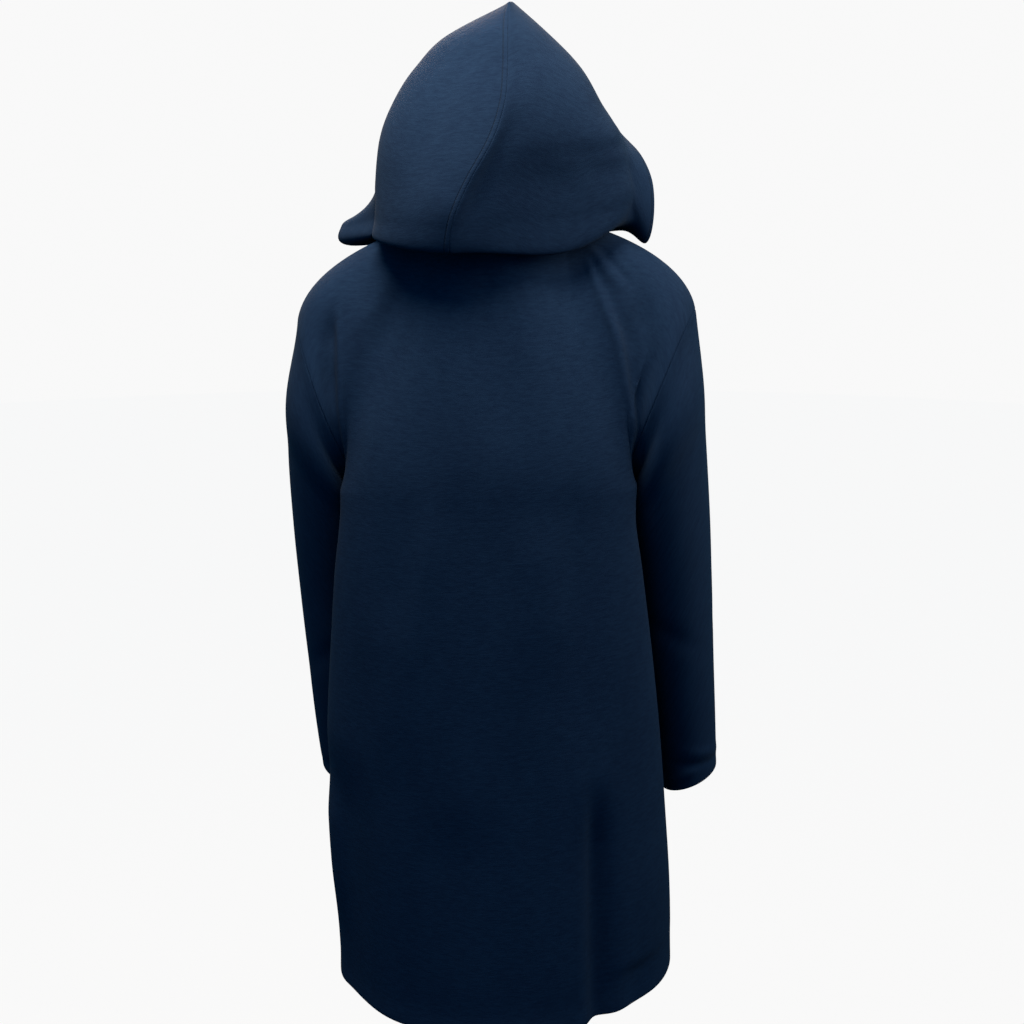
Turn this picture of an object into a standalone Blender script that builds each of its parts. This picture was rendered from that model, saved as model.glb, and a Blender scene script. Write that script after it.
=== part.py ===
"""Hooded duffle coat, hood up and filled out, with no wearer.

Metres, +Z up. The coat faces -Y, so its back faces +Y, and +X is the wearer's left. The origin is the
middle of the neck opening, where the wearer's neck holds the coat up.

Every cloth piece is a grid of points on the middle of its cloth, worked out from the tables below, and gets
its thickness afterwards. Neighbours share the points of their seam and stand a small gap apart there.
"""

import math

import bpy
import numpy as np

# ---- driving sizes ------------------------------------------------------------------------------------

CLOTH = 0.0025              # thickness of the felted wool
SEAM_GAP = 0.0003           # between two pieces at a seam
HEM_SIDE_Z = -0.9205        # height of the hem at the side seams
HEM_DIP = 0.0115            # how much lower the hem is at the centre back and front
CHEST_Z = -0.255            # height of the underarm, where the armholes start
TILT = 0.036                # drop of the whole coat per metre towards the wearer's left
SIDE_ANGLE = math.radians(105.0)   # where the side seam lies, round from the centre back
LAP = 0.034                 # each front's reach past the centre
LAP_DEPTH = 0.0036          # how far the under front lies behind the upper one
ARM_SWING = 0.050           # how far the right arm leans out, and the left one in, per metre of drop
ARM_FORWARD = 0.030         # how far the left arm hangs ahead of the right one, per metre of drop

# Grid steps of each stretch of seam, shared by the pieces that meet there
BACK_NECK_STEPS = 5         # centre back to neck point
FRONT_NECK_STEPS = 6        # neck point to centre front
SHOULDER_STEPS = 7          # neck point to shoulder tip
SKIRT_STEPS = 16            # hem to underarm
ARMHOLE_STEPS = 9           # underarm to shoulder tip
LAP_STEPS = 2               # centre front to the front's edge
HOOD_FRONT_STEPS = 4        # neck point to the hood's front end, clear of the upper front's edge
HOOD_ROLL_STEPS = 6         # neck seam over the roll at the hood's foot
HOOD_RISE_STEPS = 10        # from there to the crown
SLEEVE_HEAD_STEPS = 2       # armhole to the sleeve's first ring
SLEEVE_STEPS = 14           # from there to the cuff

SEAM_DECIMALS = 5           # metres are rounded so to find the points that two pieces share
MITRE_LIMIT = 0.5           # least cosine by which a seam's half thickness is divided
SHARP_ANGLE = math.radians(40.0)

# Fastenings on the front
CLOSURE_ZS = (-0.120, -0.262, -0.404, -0.546)   # heights of the toggles
LAY_GAP = 0.0012            # between the cloth and what lies on it
TAB_WIDTH = 0.036
TAB_HEIGHT = 0.032
TAB_THICKNESS = 0.0020
TAB_STEPS = 3               # grid steps along a tab
TAB_X_LEFT = 0.010          # inner end of the tab on the left front
TAB_X_RIGHT = -0.118        # outer end of the tab on the right front
LOOP_THICK = 0.0040
LOOP_CENTRE_X = -0.072      # centre of the loop's bend
LOOP_RADIUS = 0.0080
LOOP_STEPS = 9              # points along each stretch of the loop
STEM_THICK = 0.0030
STEM_BEND = 0.0050          # radius of the short cord's turn
STEM_STEPS = 5
TOGGLE_X = -0.070
TOGGLE_OUT = 0.0180         # toggle's axis above the middle of the right front's cloth
TOGGLE_SIDES = 12
TOGGLE_LENGTH = 0.050
TOGGLE_WAIST = 0.0046       # radius in the middle, where the short cord holds it


def table(names, *rows):
    """The rows as one array for each named column."""
    return dict(zip(names.split(), np.array(rows, float).T))


# Level sections of the body, from the hem up: half width at its widest, where that lies front to back, how far
# the centre back and centre front reach, the hollow that each hanging arm presses into the side, and how far
# the section's middle drifts sideways.
SECTIONS = table(
    "z      half_width widest_y back_y  front_y dent_y dent_left dent_right drift",
    (-0.935, 0.2225,  -0.004,   0.192, -0.168, -0.060, 0.000,    0.000,    -0.0110),
    (-0.800, 0.2215,   0.014,   0.184, -0.163, -0.068, 0.018,    0.003,    -0.0080),
    (-0.700, 0.2195,   0.028,   0.176, -0.158, -0.068, 0.040,    0.010,    -0.0040),
    (-0.600, 0.2150,   0.042,   0.169, -0.154, -0.058, 0.055,    0.020,    -0.0020),
    (-0.480, 0.2070,   0.052,   0.161, -0.150, -0.040, 0.053,    0.034,     0.0000),
    (-0.360, 0.1970,   0.060,   0.153, -0.148, -0.018, 0.047,    0.040,     0.0020),
    (-0.290, 0.1905,   0.064,   0.148, -0.146,  0.000, 0.040,    0.036,     0.0020),
    (-0.255, 0.1880,   0.064,   0.146, -0.145,  0.004, 0.024,    0.024,     0.0010),
)
DENT_REACH = 0.062          # half breadth of the arm's hollow, front to back

# Seam lines that close the top of the body, for the wearer's left: ends and end slopes of each curve
NECK_BACK = np.array((0.0, 0.062, 0.045))
NECK_POINT = np.array((0.082, -0.008, 0.062))
NECK_FRONT = np.array((0.0, -0.105, -0.022))
SHOULDER_TIP = np.array((0.2455, 0.0, -0.052))
NECK_BACK_SLOPES = np.array(((0.13, 0.0, 0.0), (0.02, -0.13, 0.067)))
NECK_FRONT_SLOPES = np.array(((0.0, -0.14, -0.05), (-0.13, 0.0, 0.0)))
SHOULDER_SLOPES = np.array(((0.175, 0.004, -0.045), (0.035, 0.002, -0.185)))

# Rise of the panels from chest to neck and shoulder. share runs from 0 at the centre line to 1 at the armhole.
# rise is how steeply an upright line leaves the chest, turn what is added there to bend it round the armhole,
# and end is the slope with which it reaches the top.
BACK_RISE = table(
    "share rise   turn_x  turn_y  end_x  end_y   end_z",
    (0.00,  0.290,  0.000,  0.000, 0.000, -0.110, 0.150),
    (0.42,  0.280,  0.000,  0.000, 0.000, -0.180, 0.085),
    (0.65,  0.250, -0.060,  0.010, 0.020, -0.235, 0.030),
    (0.85,  0.190, -0.090,  0.120, 0.045, -0.265, 0.015),
    (1.00,  0.090,  0.020,  0.330, 0.040, -0.280, 0.020),
)
FRONT_RISE = table(
    "share rise   turn_x  turn_y  end_x  end_y   end_z",
    (0.00,  0.240,  0.000,  0.000, 0.000,  0.070, 0.200),
    (0.46,  0.260,  0.000,  0.000, 0.000,  0.170, 0.090),
    (0.70,  0.240,  0.000, -0.010, 0.000,  0.230, 0.060),
    (0.87,  0.160, -0.100, -0.110, 0.045,  0.250, 0.060),
    (1.00,  0.050, -0.020, -0.260, 0.030,  0.270, 0.050),
)
CORNER_EASE = 0.16          # share of a panel over which the neck point's corner dies away below the seam

# Creases in the body's cloth, a row each: where the line starts and ends, seen from behind or in front, half
# its breadth, how far it stands out (+) or sinks in (-), and how much of that it still has at its lower end.
BACK_FOLDS = table(
    "top_x  top_z   low_x   low_z   breadth height  low_share",
    (-0.180, 0.005, -0.203, -0.215, 0.022, -0.0090, 0.2),     # hollow behind the right armhole
    (-0.136, 0.030, -0.186, -0.260, 0.013,  0.0040, 0.4),     # edge that falls from the right of the neck
    (0.195, -0.020,  0.206, -0.200, 0.020, -0.0080, 0.2),     # hollow behind the left armhole
    (0.160,  0.000,  0.187, -0.240, 0.014,  0.0030, 0.4),
    (0.100,  0.020,  0.145, -0.190, 0.030, -0.0050, 0.1),     # slanting hollow over the left shoulder blade
    (0.000,  0.030, -0.006, -0.230, 0.034, -0.0040, 0.0),
    (0.116, -0.360,  0.106, -0.640, 0.030,  0.0035, 0.0),
    (-0.062, -0.260, -0.084, -0.520, 0.036, 0.0035, 0.0),
    (-0.138, -0.600, -0.150, -0.935, 0.017, -0.0150, 1.0),    # deep fold that runs into the hem
    (0.206, -0.620,  0.196, -0.860, 0.018,  0.0050, 0.0),
    (0.190, -0.560,  0.174, -0.935, 0.046, -0.0080, 1.0),     # the hem's left corner turns in
    (-0.196, -0.860, -0.190, -0.935, 0.022, -0.0060, 1.0),
    (0.030, -0.620,  0.050, -0.935, 0.045, -0.0040, 1.0),
)
FRONT_FOLDS = table(
    "top_x  top_z   low_x   low_z   breadth height  low_share",
    (0.100,  0.000,  0.120, -0.230, 0.030, -0.0050, 0.1),
    (-0.110, 0.000, -0.124, -0.250, 0.026, -0.0060, 0.1),
    (0.126, -0.480,  0.146, -0.935, 0.026, -0.0100, 1.0),
    (-0.116, -0.560, -0.140, -0.935, 0.024, -0.0080, 1.0),
    (-0.150, -0.300, -0.136, -0.560, 0.028,  0.0040, 0.0),
    (0.080, -0.300,  0.090, -0.640, 0.034,  0.0035, 0.0),
)

# The turned toggle, along its axis
TOGGLE_PROFILE = table(
    "height  radius",
    (-0.0250, 0.0040),
    (-0.0232, 0.0056),
    (-0.0120, 0.0066),
    (-0.0045, 0.0054),
    (0.0000,  TOGGLE_WAIST),
    (0.0045,  0.0054),
    (0.0120,  0.0066),
    (0.0232,  0.0056),
    (0.0250,  0.0040),
)

# Rings of the left sleeve below its armhole: distance down the sleeve, centre, half breadth across the arm,
# half depth front to back, and how far the ring's outer side is tipped up.
SLEEVE_RINGS = table(
    "down  x       y       z       half_breadth half_depth tip",
    (0.042, 0.2130,  0.006, -0.1950, 0.0880,      0.078,     61.7),
    (0.110, 0.2155, -0.006, -0.2625, 0.0700,      0.074,     48.6),
    (0.185, 0.2190, -0.018, -0.3375, 0.0542,      0.070,     30.4),
    (0.267, 0.2215, -0.032, -0.4200, 0.0468,      0.066,     12.0),
    (0.360, 0.2245, -0.044, -0.5125, 0.0431,      0.061,      4.0),
    (0.449, 0.2285, -0.057, -0.6010, 0.0395,      0.057,      2.0),
    (0.532, 0.2315, -0.069, -0.6820, 0.0380,      0.054,     20.0),
)
# Way from the left armhole to the ring halfway to the first one, at the underarm and at the shoulder tip
UNDERARM_SETOFF = np.array((0.014, -0.002, -0.010))
TIP_SETOFF = np.array((0.003, 0.0, -0.022))

# Rows of the hood above the neck seam: its share of the way up, the centre seam, then each half's side and
# face edge, how steeply the half falls away forwards from the seam, and how far it sags between the seam and
# the side. The hood leans over the wearer's left, so its halves differ.
HOOD_SEAM = table(
    "up    x       y      z",
    (0.06,  0.006, 0.068, 0.060),
    (0.12,  0.022, 0.096, 0.060),
    (0.19,  0.036, 0.125, 0.034),
    (0.28,  0.032, 0.136, 0.068),
    (0.40,  0.012, 0.131, 0.116),
    (0.52, -0.010, 0.120, 0.155),
    (0.65, -0.024, 0.102, 0.199),
    (0.78, -0.025, 0.076, 0.243),
    (0.90, -0.022, 0.045, 0.286),
    (1.00, -0.019, 0.008, 0.3155),
)
HOOD_LEFT = table(
    "up    side_x  side_y side_z  edge_x  edge_y  edge_z  fold  sag",
    (0.06,  0.088, -0.006, 0.078, 0.050, -0.099, 0.012, 0.10, 0.0),
    (0.12,  0.110, 0.014,  0.070, 0.120, -0.098, 0.030, 0.15, 0.0),
    (0.19,  0.140, 0.030,  0.048, 0.194, -0.066, 0.033, 0.20, 0.0),
    (0.28,  0.142, 0.022,  0.070, 0.203, -0.070, 0.056, 0.25, 0.0),
    (0.40,  0.141, 0.018,  0.112, 0.166, -0.080, 0.076, 0.25, 0.0),
    (0.46,  0.139, 0.018,  0.136, 0.142, -0.092, 0.094, 0.25, 0.0),
    (0.52,  0.136, 0.016,  0.160, 0.130, -0.106, 0.156, 0.25, 0.0),
    (0.65,  0.121, 0.008,  0.203, 0.112, -0.114, 0.203, 0.30, 0.0),
    (0.78,  0.095, -0.008, 0.245, 0.082, -0.118, 0.246, 0.40, 0.0),
    (0.90,  0.055, -0.028, 0.283, 0.040, -0.118, 0.278, 0.45, 0.0),
    (1.00, -0.019, -0.050, 0.3155, -0.016, -0.116, 0.292, 0.45, 0.0),
)
HOOD_RIGHT = table(
    "up    side_x  side_y side_z  edge_x  edge_y  edge_z  fold  sag",
    (0.06, -0.088, -0.006, 0.078, -0.050, -0.099, 0.012, 0.10, 0.0),
    (0.12, -0.113, 0.004,  0.074, -0.096, -0.104, 0.030, 0.30, 0.006),
    (0.19, -0.145, 0.012,  0.050, -0.152, -0.064, 0.042, 0.90, 0.015),
    (0.28, -0.166, -0.006, 0.078, -0.185, -0.024, 0.028, 1.20, 0.006),
    (0.40, -0.162, -0.012, 0.118, -0.190, -0.036, 0.102, 1.20, 0.0),
    (0.46, -0.157, -0.006, 0.137, -0.175, -0.058, 0.132, 1.15, 0.0),
    (0.52, -0.150, 0.002,  0.155, -0.151, -0.086, 0.156, 1.05, 0.0),
    (0.65, -0.125, 0.006,  0.197, -0.112, -0.114, 0.198, 0.85, 0.0),
    (0.78, -0.099, -0.008, 0.240, -0.086, -0.118, 0.241, 0.55, 0.0),
    (0.90, -0.062, -0.028, 0.279, -0.052, -0.118, 0.272, 0.45, 0.0),
    (1.00, -0.019, -0.050, 0.3155, -0.016, -0.116, 0.292, 0.45, 0.0),
)

HOOD_ROLL_UP = 0.28         # share of the way up at which the roll at the hood's foot ends
HOOD_LEAVE = (1.55, 0.4)    # pull of a row's curve as it leaves the seam, sideways and in height
HOOD_PASS = np.array((0.12, 1.35, 0.5))   # pull as it passes the side: sideways, forwards and in height
HOOD_ARRIVE = 1.2           # pull as it comes to the face edge
HOOD_LEAST_RUN = 0.02       # least run from seam to side that the pull past the side is scaled by

# Looks: colour and roughness
WOOL_LOOK = ((0.006, 0.013, 0.035), 0.95)
CORD_LOOK = ((0.012, 0.012, 0.014), 0.80)
WOOD_LOOK = ((0.060, 0.026, 0.012), 0.45)


# ---- curves and grids ---------------------------------------------------------------------------------

def smooth(t):
    """0 to 1 with level ends, for t from 0 to 1."""
    t = np.clip(t, 0.0, 1.0)
    return t * t * (3.0 - 2.0 * t)


def hermite(start, end, start_slope, end_slope, t):
    """The cubic from start to end with those slopes, at t from 0 to 1; t may be an array."""
    t = np.asarray(t, float)[..., None]
    t2, t3 = t * t, t * t * t
    return ((2 * t3 - 3 * t2 + 1) * start + (t3 - 2 * t2 + t) * start_slope
            + (3 * t2 - 2 * t3) * end + (t3 - t2) * end_slope)


def spline(keys, values, at):
    """A smooth curve through values, one for each key, read at any places; values may hold points or rows."""
    keys = np.asarray(keys, float)
    values = np.asarray(values, float)
    flat = values.reshape(len(keys), -1)
    slopes = np.gradient(flat, keys, axis=0, edge_order=2 if len(keys) > 2 else 1)
    at = np.asarray(at, float)
    place = np.clip(at.ravel(), keys[0], keys[-1])
    i = np.clip(np.searchsorted(keys, place, side="right") - 1, 0, len(keys) - 2)
    width = keys[i + 1] - keys[i]
    found = hermite(flat[i], flat[i + 1], slopes[i] * width[:, None], slopes[i + 1] * width[:, None],
                    (place - keys[i]) / width)
    return found.reshape(at.shape + values.shape[1:])


def column(rows, name, at, key="z"):
    """One named column of a table, read smoothly at any places of its key column."""
    return spline(rows[key], rows[name], at)


def columns(rows, names, at, key):
    """Several named columns of a table together, as points."""
    return spline(rows[key], np.stack([rows[name] for name in names.split()], -1), at)


def mirrored(points, side):
    """The points, or for side -1 their mirror image in the middle plane."""
    return points * np.array((side, 1.0, 1.0))


# ---- the body's surface -------------------------------------------------------------------------------

def body_section(z, angle):
    """Points of the level section at z; angle runs from the centre back, + to the wearer's left, to pi at the
    centre front. A back and a front half ellipse share the widest line, and a soft bell-shaped hollow where
    the arm hangs is taken off the sides."""
    half_width = column(SECTIONS, "half_width", z)
    widest = column(SECTIONS, "widest_y", z)
    back = column(SECTIONS, "back_y", z)
    front = column(SECTIONS, "front_y", z)
    across, along = np.sin(angle), np.cos(angle)
    y = widest + np.where(along > 0, (back - widest) * along, (widest - front) * along)
    dent = np.where(angle > 0, column(SECTIONS, "dent_left", z), column(SECTIONS, "dent_right", z))
    bell = np.exp(-((y - column(SECTIONS, "dent_y", z)) / DENT_REACH) ** 2)
    x = half_width * across - dent * bell * across ** 3 + column(SECTIONS, "drift", z)
    return np.stack(np.broadcast_arrays(x, y, z), -1)


def skirt(angle, up):
    """The body below the underarm: up runs from 0 at the hem to 1 at chest height."""
    hem = HEM_SIDE_Z - HEM_DIP * np.cos(angle) ** 2
    return body_section(hem + (CHEST_Z - hem) * up, angle)


def top_edge(share, neck_share, neck_ends, neck_slopes):
    """The neck curve and then the shoulder seam; share is signed, + to the wearer's left."""
    part = np.abs(share)
    neck = hermite(neck_ends[0], neck_ends[1], neck_slopes[0], neck_slopes[1],
                   np.clip(part / neck_share, 0, 1))
    shoulder = hermite(NECK_POINT, SHOULDER_TIP, SHOULDER_SLOPES[0], SHOULDER_SLOPES[1],
                       (part - neck_share) / (1.0 - neck_share))
    edge = np.where((part < neck_share)[..., None], neck, shoulder)
    return edge * facing(share)


def eased_edge(share, *neck):
    """The top edge with its corner at the neck point rounded: the mean of the edge over a short stretch."""
    reach = CORNER_EASE * (1.0 - smooth((np.abs(share) - 0.6) / 0.4))
    offsets = np.linspace(-1.0, 1.0, 9)
    weights = np.cos(offsets * math.pi / 2.4)
    return sum(weight * top_edge(share + offset * reach, *neck)
               for weight, offset in zip(weights / weights.sum(), offsets))


def facing(share):
    """Turns a point of the wearer's left into one of the side that share is on."""
    side = np.where(share < 0, -1.0, 1.0)
    return np.stack([side, np.ones_like(side), np.ones_like(side)], -1)


def bodice(share, angle, up, rise, *neck):
    """The body above the underarm: each upright line is a cubic from the chest section to the neck curve or
    the shoulder seam, and the line at the armhole is the armhole itself. up runs from 0 to 1."""
    chest = np.full_like(angle, CHEST_Z)
    start = body_section(chest, angle)
    step = 0.01
    lean = (start - body_section(chest - step, angle)) / step
    part = np.abs(share)
    turn = columns(rise, "turn_x turn_y", part, "share")
    turn = np.concatenate([turn, np.zeros_like(turn[..., :1])], -1) * facing(share)
    start_slope = lean * column(rise, "rise", part, "share")[..., None] + turn
    end_slope = columns(rise, "end_x end_y end_z", part, "share") * facing(share)
    eased = eased_edge(share, *neck)
    return (hermite(start, eased, start_slope, end_slope, up)
            + (up ** 5)[..., None] * (top_edge(share, *neck) - eased))


def panel(share, level, angle, neck_share, rise, neck_ends, neck_slopes):
    """A body panel: share is 0 at its centre line and 1 at its side; level is 0 at the hem, 1 at the
    underarm and 2 at the top."""
    lower = skirt(angle, np.clip(level, 0, 1))
    upper = bodice(share, angle, np.clip(level - 1.0, 0, 1), rise, neck_share, neck_ends, neck_slopes)
    return np.where((level <= 1.0)[..., None], lower, upper)


BACK_NECK_SHARE = BACK_NECK_STEPS / (BACK_NECK_STEPS + SHOULDER_STEPS)
FRONT_NECK_SHARE = FRONT_NECK_STEPS / (FRONT_NECK_STEPS + SHOULDER_STEPS)


def back_surface(share, level):
    """The back; share runs from -1 at the wearer's right side to 1 at the left."""
    return panel(share, level, share * SIDE_ANGLE, BACK_NECK_SHARE, BACK_RISE,
                 (NECK_BACK, NECK_POINT), NECK_BACK_SLOPES)


def front_surface(share, level):
    """The fronts as one surface; share runs from -1 at the wearer's right side, over the centre, to 1."""
    angle = np.where(share < 0, -1.0, 1.0) * (math.pi - np.abs(share) * (math.pi - SIDE_ANGLE))
    return panel(share, level, angle, FRONT_NECK_SHARE, FRONT_RISE,
                 (NECK_FRONT, NECK_POINT), -NECK_FRONT_SLOPES[::-1])


def normals_of(grid, closed=False):
    """Unit normals of a grid of points: the mean of the squares round each, by their areas."""
    across = np.concatenate([grid, grid[:, :1]], axis=1) if closed else grid
    face = np.cross(across[1:, 1:] - across[:-1, :-1], across[1:, :-1] - across[:-1, 1:])
    if closed:
        face = np.concatenate([face[:, -1:], face], axis=1)
    else:
        face = np.pad(face, ((0, 0), (1, 1), (0, 0)))
    face = np.pad(face, ((1, 1), (0, 0), (0, 0)))
    total = face[:-1, :-1] + face[:-1, 1:] + face[1:, :-1] + face[1:, 1:]
    return total / np.linalg.norm(total, axis=-1, keepdims=True)


def folded(points, share, level, folds):
    """The panel with its creases: each is a bell across its own line, soft at its top end, that dies away
    before the side seams and the top, so that neighbours still meet."""
    x, z = points[..., 0], points[..., 2]
    lift = np.zeros_like(x)
    for top_x, top_z, low_x, low_z, breadth, height, low_share in zip(*folds.values()):
        run = (top_z - z) / (top_z - low_z)
        line = top_x + (low_x - top_x) * run
        fade = smooth(run / 0.3) * (1.0 - (1.0 - low_share) * smooth((run - 0.55) / 0.45))
        fade = fade * smooth((1.0 + 0.2 * (low_share < 1.0) - run) / 0.2 + (low_share == 1.0))
        lift += height * fade * np.exp(-((x - line) / breadth) ** 2)
    lift *= smooth((1.0 - np.abs(share)) / 0.10) * smooth((2.0 - level) / 0.16)
    return points + normals_of(points) * lift[..., None]


def lap_inwards(points, side):
    """Sets the under front behind the upper one, from a little outside the upper one's edge."""
    if side > 0:
        return points
    depth = LAP_DEPTH * smooth((points[..., 0] + 2.2 * LAP) / (0.8 * LAP))
    return points - normals_of(points) * depth[..., None]


def levels(skirt_steps, armhole_steps):
    return np.concatenate([np.linspace(0, 1, skirt_steps, endpoint=False),
                           1.0 + np.linspace(0, 1, armhole_steps + 1)])


def back_grid():
    half = BACK_NECK_STEPS + SHOULDER_STEPS
    share, level = np.meshgrid(np.linspace(1, -1, 2 * half + 1), levels(SKIRT_STEPS, ARMHOLE_STEPS))
    return folded(back_surface(share, level), share, level, BACK_FOLDS)


def front_grid(side):
    """One front, from the side seam to its own edge past the centre."""
    inner = FRONT_NECK_STEPS + SHOULDER_STEPS
    share = np.linspace(1, 0, inner + 1)
    share = np.concatenate([share, -np.arange(1, LAP_STEPS + 1) * front_lap_share() / LAP_STEPS])
    share, level = np.meshgrid(share * side, levels(SKIRT_STEPS, ARMHOLE_STEPS))
    if side > 0:
        share, level = share[:, ::-1], level[:, ::-1]
    grid = folded(front_surface(share, level), share, level, FRONT_FOLDS)
    return lap_inwards(grid, side)


def front_lap_share():
    """The lap past the centre as a share of the front's half width."""
    chest = column(SECTIONS, "half_width", CHEST_Z)
    return math.asin(LAP / chest) / (math.pi - SIDE_ANGLE)


# ---- sleeves and hood ---------------------------------------------------------------------------------

def armhole(side, back, front):
    """The closed armhole line, from the underarm up the back to the shoulder tip and down the front."""
    back_side = back[SKIRT_STEPS:, 0 if side > 0 else -1]
    front_side = front[SKIRT_STEPS:, -1 if side > 0 else 0]
    return np.concatenate([back_side, front_side[-2:0:-1]])


def sleeve_ring(side, down, turn):
    """Points of the sleeve's rings: an ellipse, tipped about the front-to-back line."""
    centre = columns(SLEEVE_RINGS, "x y z", down, "down")
    breadth = column(SLEEVE_RINGS, "half_breadth", down, "down")
    depth = column(SLEEVE_RINGS, "half_depth", down, "down")
    tip = np.radians(column(SLEEVE_RINGS, "tip", down, "down"))
    across = -np.cos(turn) * breadth
    drop = np.clip(CHEST_Z - centre[..., 2], 0, None)
    ahead = ARM_FORWARD * drop * (side > 0)
    return mirrored(np.stack([centre[..., 0] - side * ARM_SWING * drop + across * np.cos(tip),
                              centre[..., 1] - ahead + depth * np.sin(turn),
                              centre[..., 2] + across * np.sin(tip)], -1), side)


def sleeve_grid(side, loop):
    """One sleeve: a smooth tube from its armhole, out past the underarm, through the rings of the table to
    the cuff."""
    turn = np.linspace(0, 2 * math.pi, len(loop), endpoint=False)
    keys = SLEEVE_RINGS["down"]
    turns, downs = np.meshgrid(turn, keys)
    low = (1.0 + np.cos(turn)[:, None]) / 2
    head = loop + mirrored(low * UNDERARM_SETOFF + (1.0 - low) * TIP_SETOFF, side)
    rings = np.concatenate([loop[None], head[None], sleeve_ring(side, downs, turns)])
    down = np.concatenate([np.linspace(0, keys[0], SLEEVE_HEAD_STEPS, endpoint=False),
                           np.linspace(keys[0], keys[-1], SLEEVE_STEPS + 1)])
    grid = spline(np.concatenate([[0.0, keys[0] / 2], keys]), rings, down)
    return grid if side > 0 else grid[:, ::-1]


def hood_row(rows, up, share):
    """A row of the hood from the centre seam round the side to the face edge: two cubics that meet at the
    side, where they run straight forward."""
    start = columns(HOOD_SEAM, "x y z", up, "up")
    middle = columns(rows, "side_x side_y side_z", up, "up")
    end = columns(rows, "edge_x edge_y edge_z", up, "up")
    out = middle - start
    fold = column(rows, "fold", up, "up")
    start_slope = np.stack([HOOD_LEAVE[0] * out[..., 0], fold * out[..., 1], HOOD_LEAVE[1] * out[..., 2]], -1)
    side_slope = HOOD_PASS * np.stack([out[..., 0], out[..., 1], (end - start)[..., 2]], -1)
    ahead = end - middle
    back_part = hermite(start, middle, start_slope, side_slope, np.clip(2 * share, 0, 1))
    scale = (np.abs(ahead[..., 1]) / np.maximum(np.abs(out[..., 1]), HOOD_LEAST_RUN))[..., None]
    front_part = hermite(middle, end, side_slope * scale, HOOD_ARRIVE * ahead, np.clip(2 * share - 1, 0, 1))
    row = np.where((share < 0.5)[..., None], back_part, front_part)
    row[..., 2] -= column(rows, "sag", up, "up") * np.sin(np.pi * np.clip(2 * share, 0, 1)) ** 2
    return row


def even_rows(rows):
    """Each row's points spread at even distances along it."""
    steps = np.linalg.norm(np.diff(rows, axis=1), axis=-1)
    run = np.concatenate([np.zeros((len(rows), 1)), np.cumsum(steps, axis=1)], axis=1)
    return run / run[:, -1:]


def hood_grid(side, neck):
    """One half of the hood, from the neck seam to the crown."""
    rows = HOOD_LEFT if side > 0 else HOOD_RIGHT
    fine_share, up = np.meshgrid(np.linspace(0, 1, 121), rows["up"])
    fine = hood_row(rows, up, fine_share)
    run = even_rows(fine)
    want = np.linspace(0, 1, len(neck))
    keyed = np.array([[np.interp(want, run[k], fine[k, :, axis]) for axis in range(3)]
                      for k in range(len(fine))]).transpose(0, 2, 1)
    grid = spline(np.concatenate([[0.0], rows["up"]]), np.concatenate([neck[None], keyed]),
                  np.concatenate([np.linspace(0, HOOD_ROLL_UP, HOOD_ROLL_STEPS, endpoint=False),
                                  np.linspace(HOOD_ROLL_UP, 1, HOOD_RISE_STEPS + 1)]))
    return grid if side < 0 else grid[:, ::-1]


def neck_line(side, back, front):
    """The neck seam from the centre back to the hood's front end."""
    half = BACK_NECK_STEPS + SHOULDER_STEPS
    back_part = back[-1, half - BACK_NECK_STEPS:half + 1][::-1] if side > 0 else \
        back[-1, half:half + BACK_NECK_STEPS + 1]
    front_row = front[-1, ::-1] if side > 0 else front[-1]
    front_part = front_row[SHOULDER_STEPS + 1:SHOULDER_STEPS + HOOD_FRONT_STEPS + 1]
    return np.concatenate([back_part, front_part])


def hang(points):
    """The lean of the whole coat towards the wearer's left."""
    return points - np.stack([np.zeros(points.shape[:-1])] * 2 + [TILT * points[..., 0]], -1)


def cloth_grids():
    """The middle surface of every cloth piece, by name, and whether it closes on itself."""
    back = back_grid()
    grids = {"back": (back, False)}
    for name, side in (("left", 1), ("right", -1)):
        front = front_grid(side)
        grids["front_" + name] = (front, False)
        grids["sleeve_" + name] = (sleeve_grid(side, armhole(side, back, front)), True)
        grids["hood_" + name] = (hood_grid(side, neck_line(side, back, front)), False)
    return {name: (hang(grid), closed) for name, (grid, closed) in grids.items()}


# ---- solid cloth --------------------------------------------------------------------------------------

def seam_normals(grids):
    """Each grid's normals, with one shared mean normal wherever pieces meet along a seam, and the half
    thickness measured along them that keeps the cloth's own thickness, within a limit at sharp folds."""
    meeting = {}
    for grid, closed in grids.values():
        for point, normal in zip(grid.reshape(-1, 3), normals_of(grid, closed).reshape(-1, 3)):
            meeting.setdefault(tuple(np.round(point, SEAM_DECIMALS)), []).append(normal)
    shared = {}
    for name, (grid, _) in grids.items():
        mean = np.array([np.mean(meeting[tuple(np.round(point, SEAM_DECIMALS))], axis=0)
                         for point in grid.reshape(-1, 3)]).reshape(grid.shape)
        closeness = np.linalg.norm(mean, axis=-1, keepdims=True)
        shared[name] = (mean / closeness, CLOTH / 2 / np.maximum(closeness, MITRE_LIMIT))
    return shared


def drawn_in(grid, normals, closed):
    """The grid with its edges drawn in by half the seam gap, square to the edge and to the shared normal."""
    moved = grid.copy()

    def draw(edge, inner, line, normal):
        tangent = np.gradient(line, axis=0)
        if closed:
            tangent = (np.roll(line, -1, axis=0) - np.roll(line, 1, axis=0)) / 2
        inward = np.cross(normal, tangent)
        inward *= np.sign(np.sum(inward * (inner - line), axis=-1, keepdims=True))
        moved[edge] += inward / np.linalg.norm(inward, axis=-1, keepdims=True) * SEAM_GAP / 2

    for row, beside in ((0, 1), (-1, -2)):
        draw((row, slice(None)), grid[beside], grid[row], normals[row])
        if not closed:
            draw((slice(None), row), grid[:, beside], grid[:, row], normals[:, row])
    return moved


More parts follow.
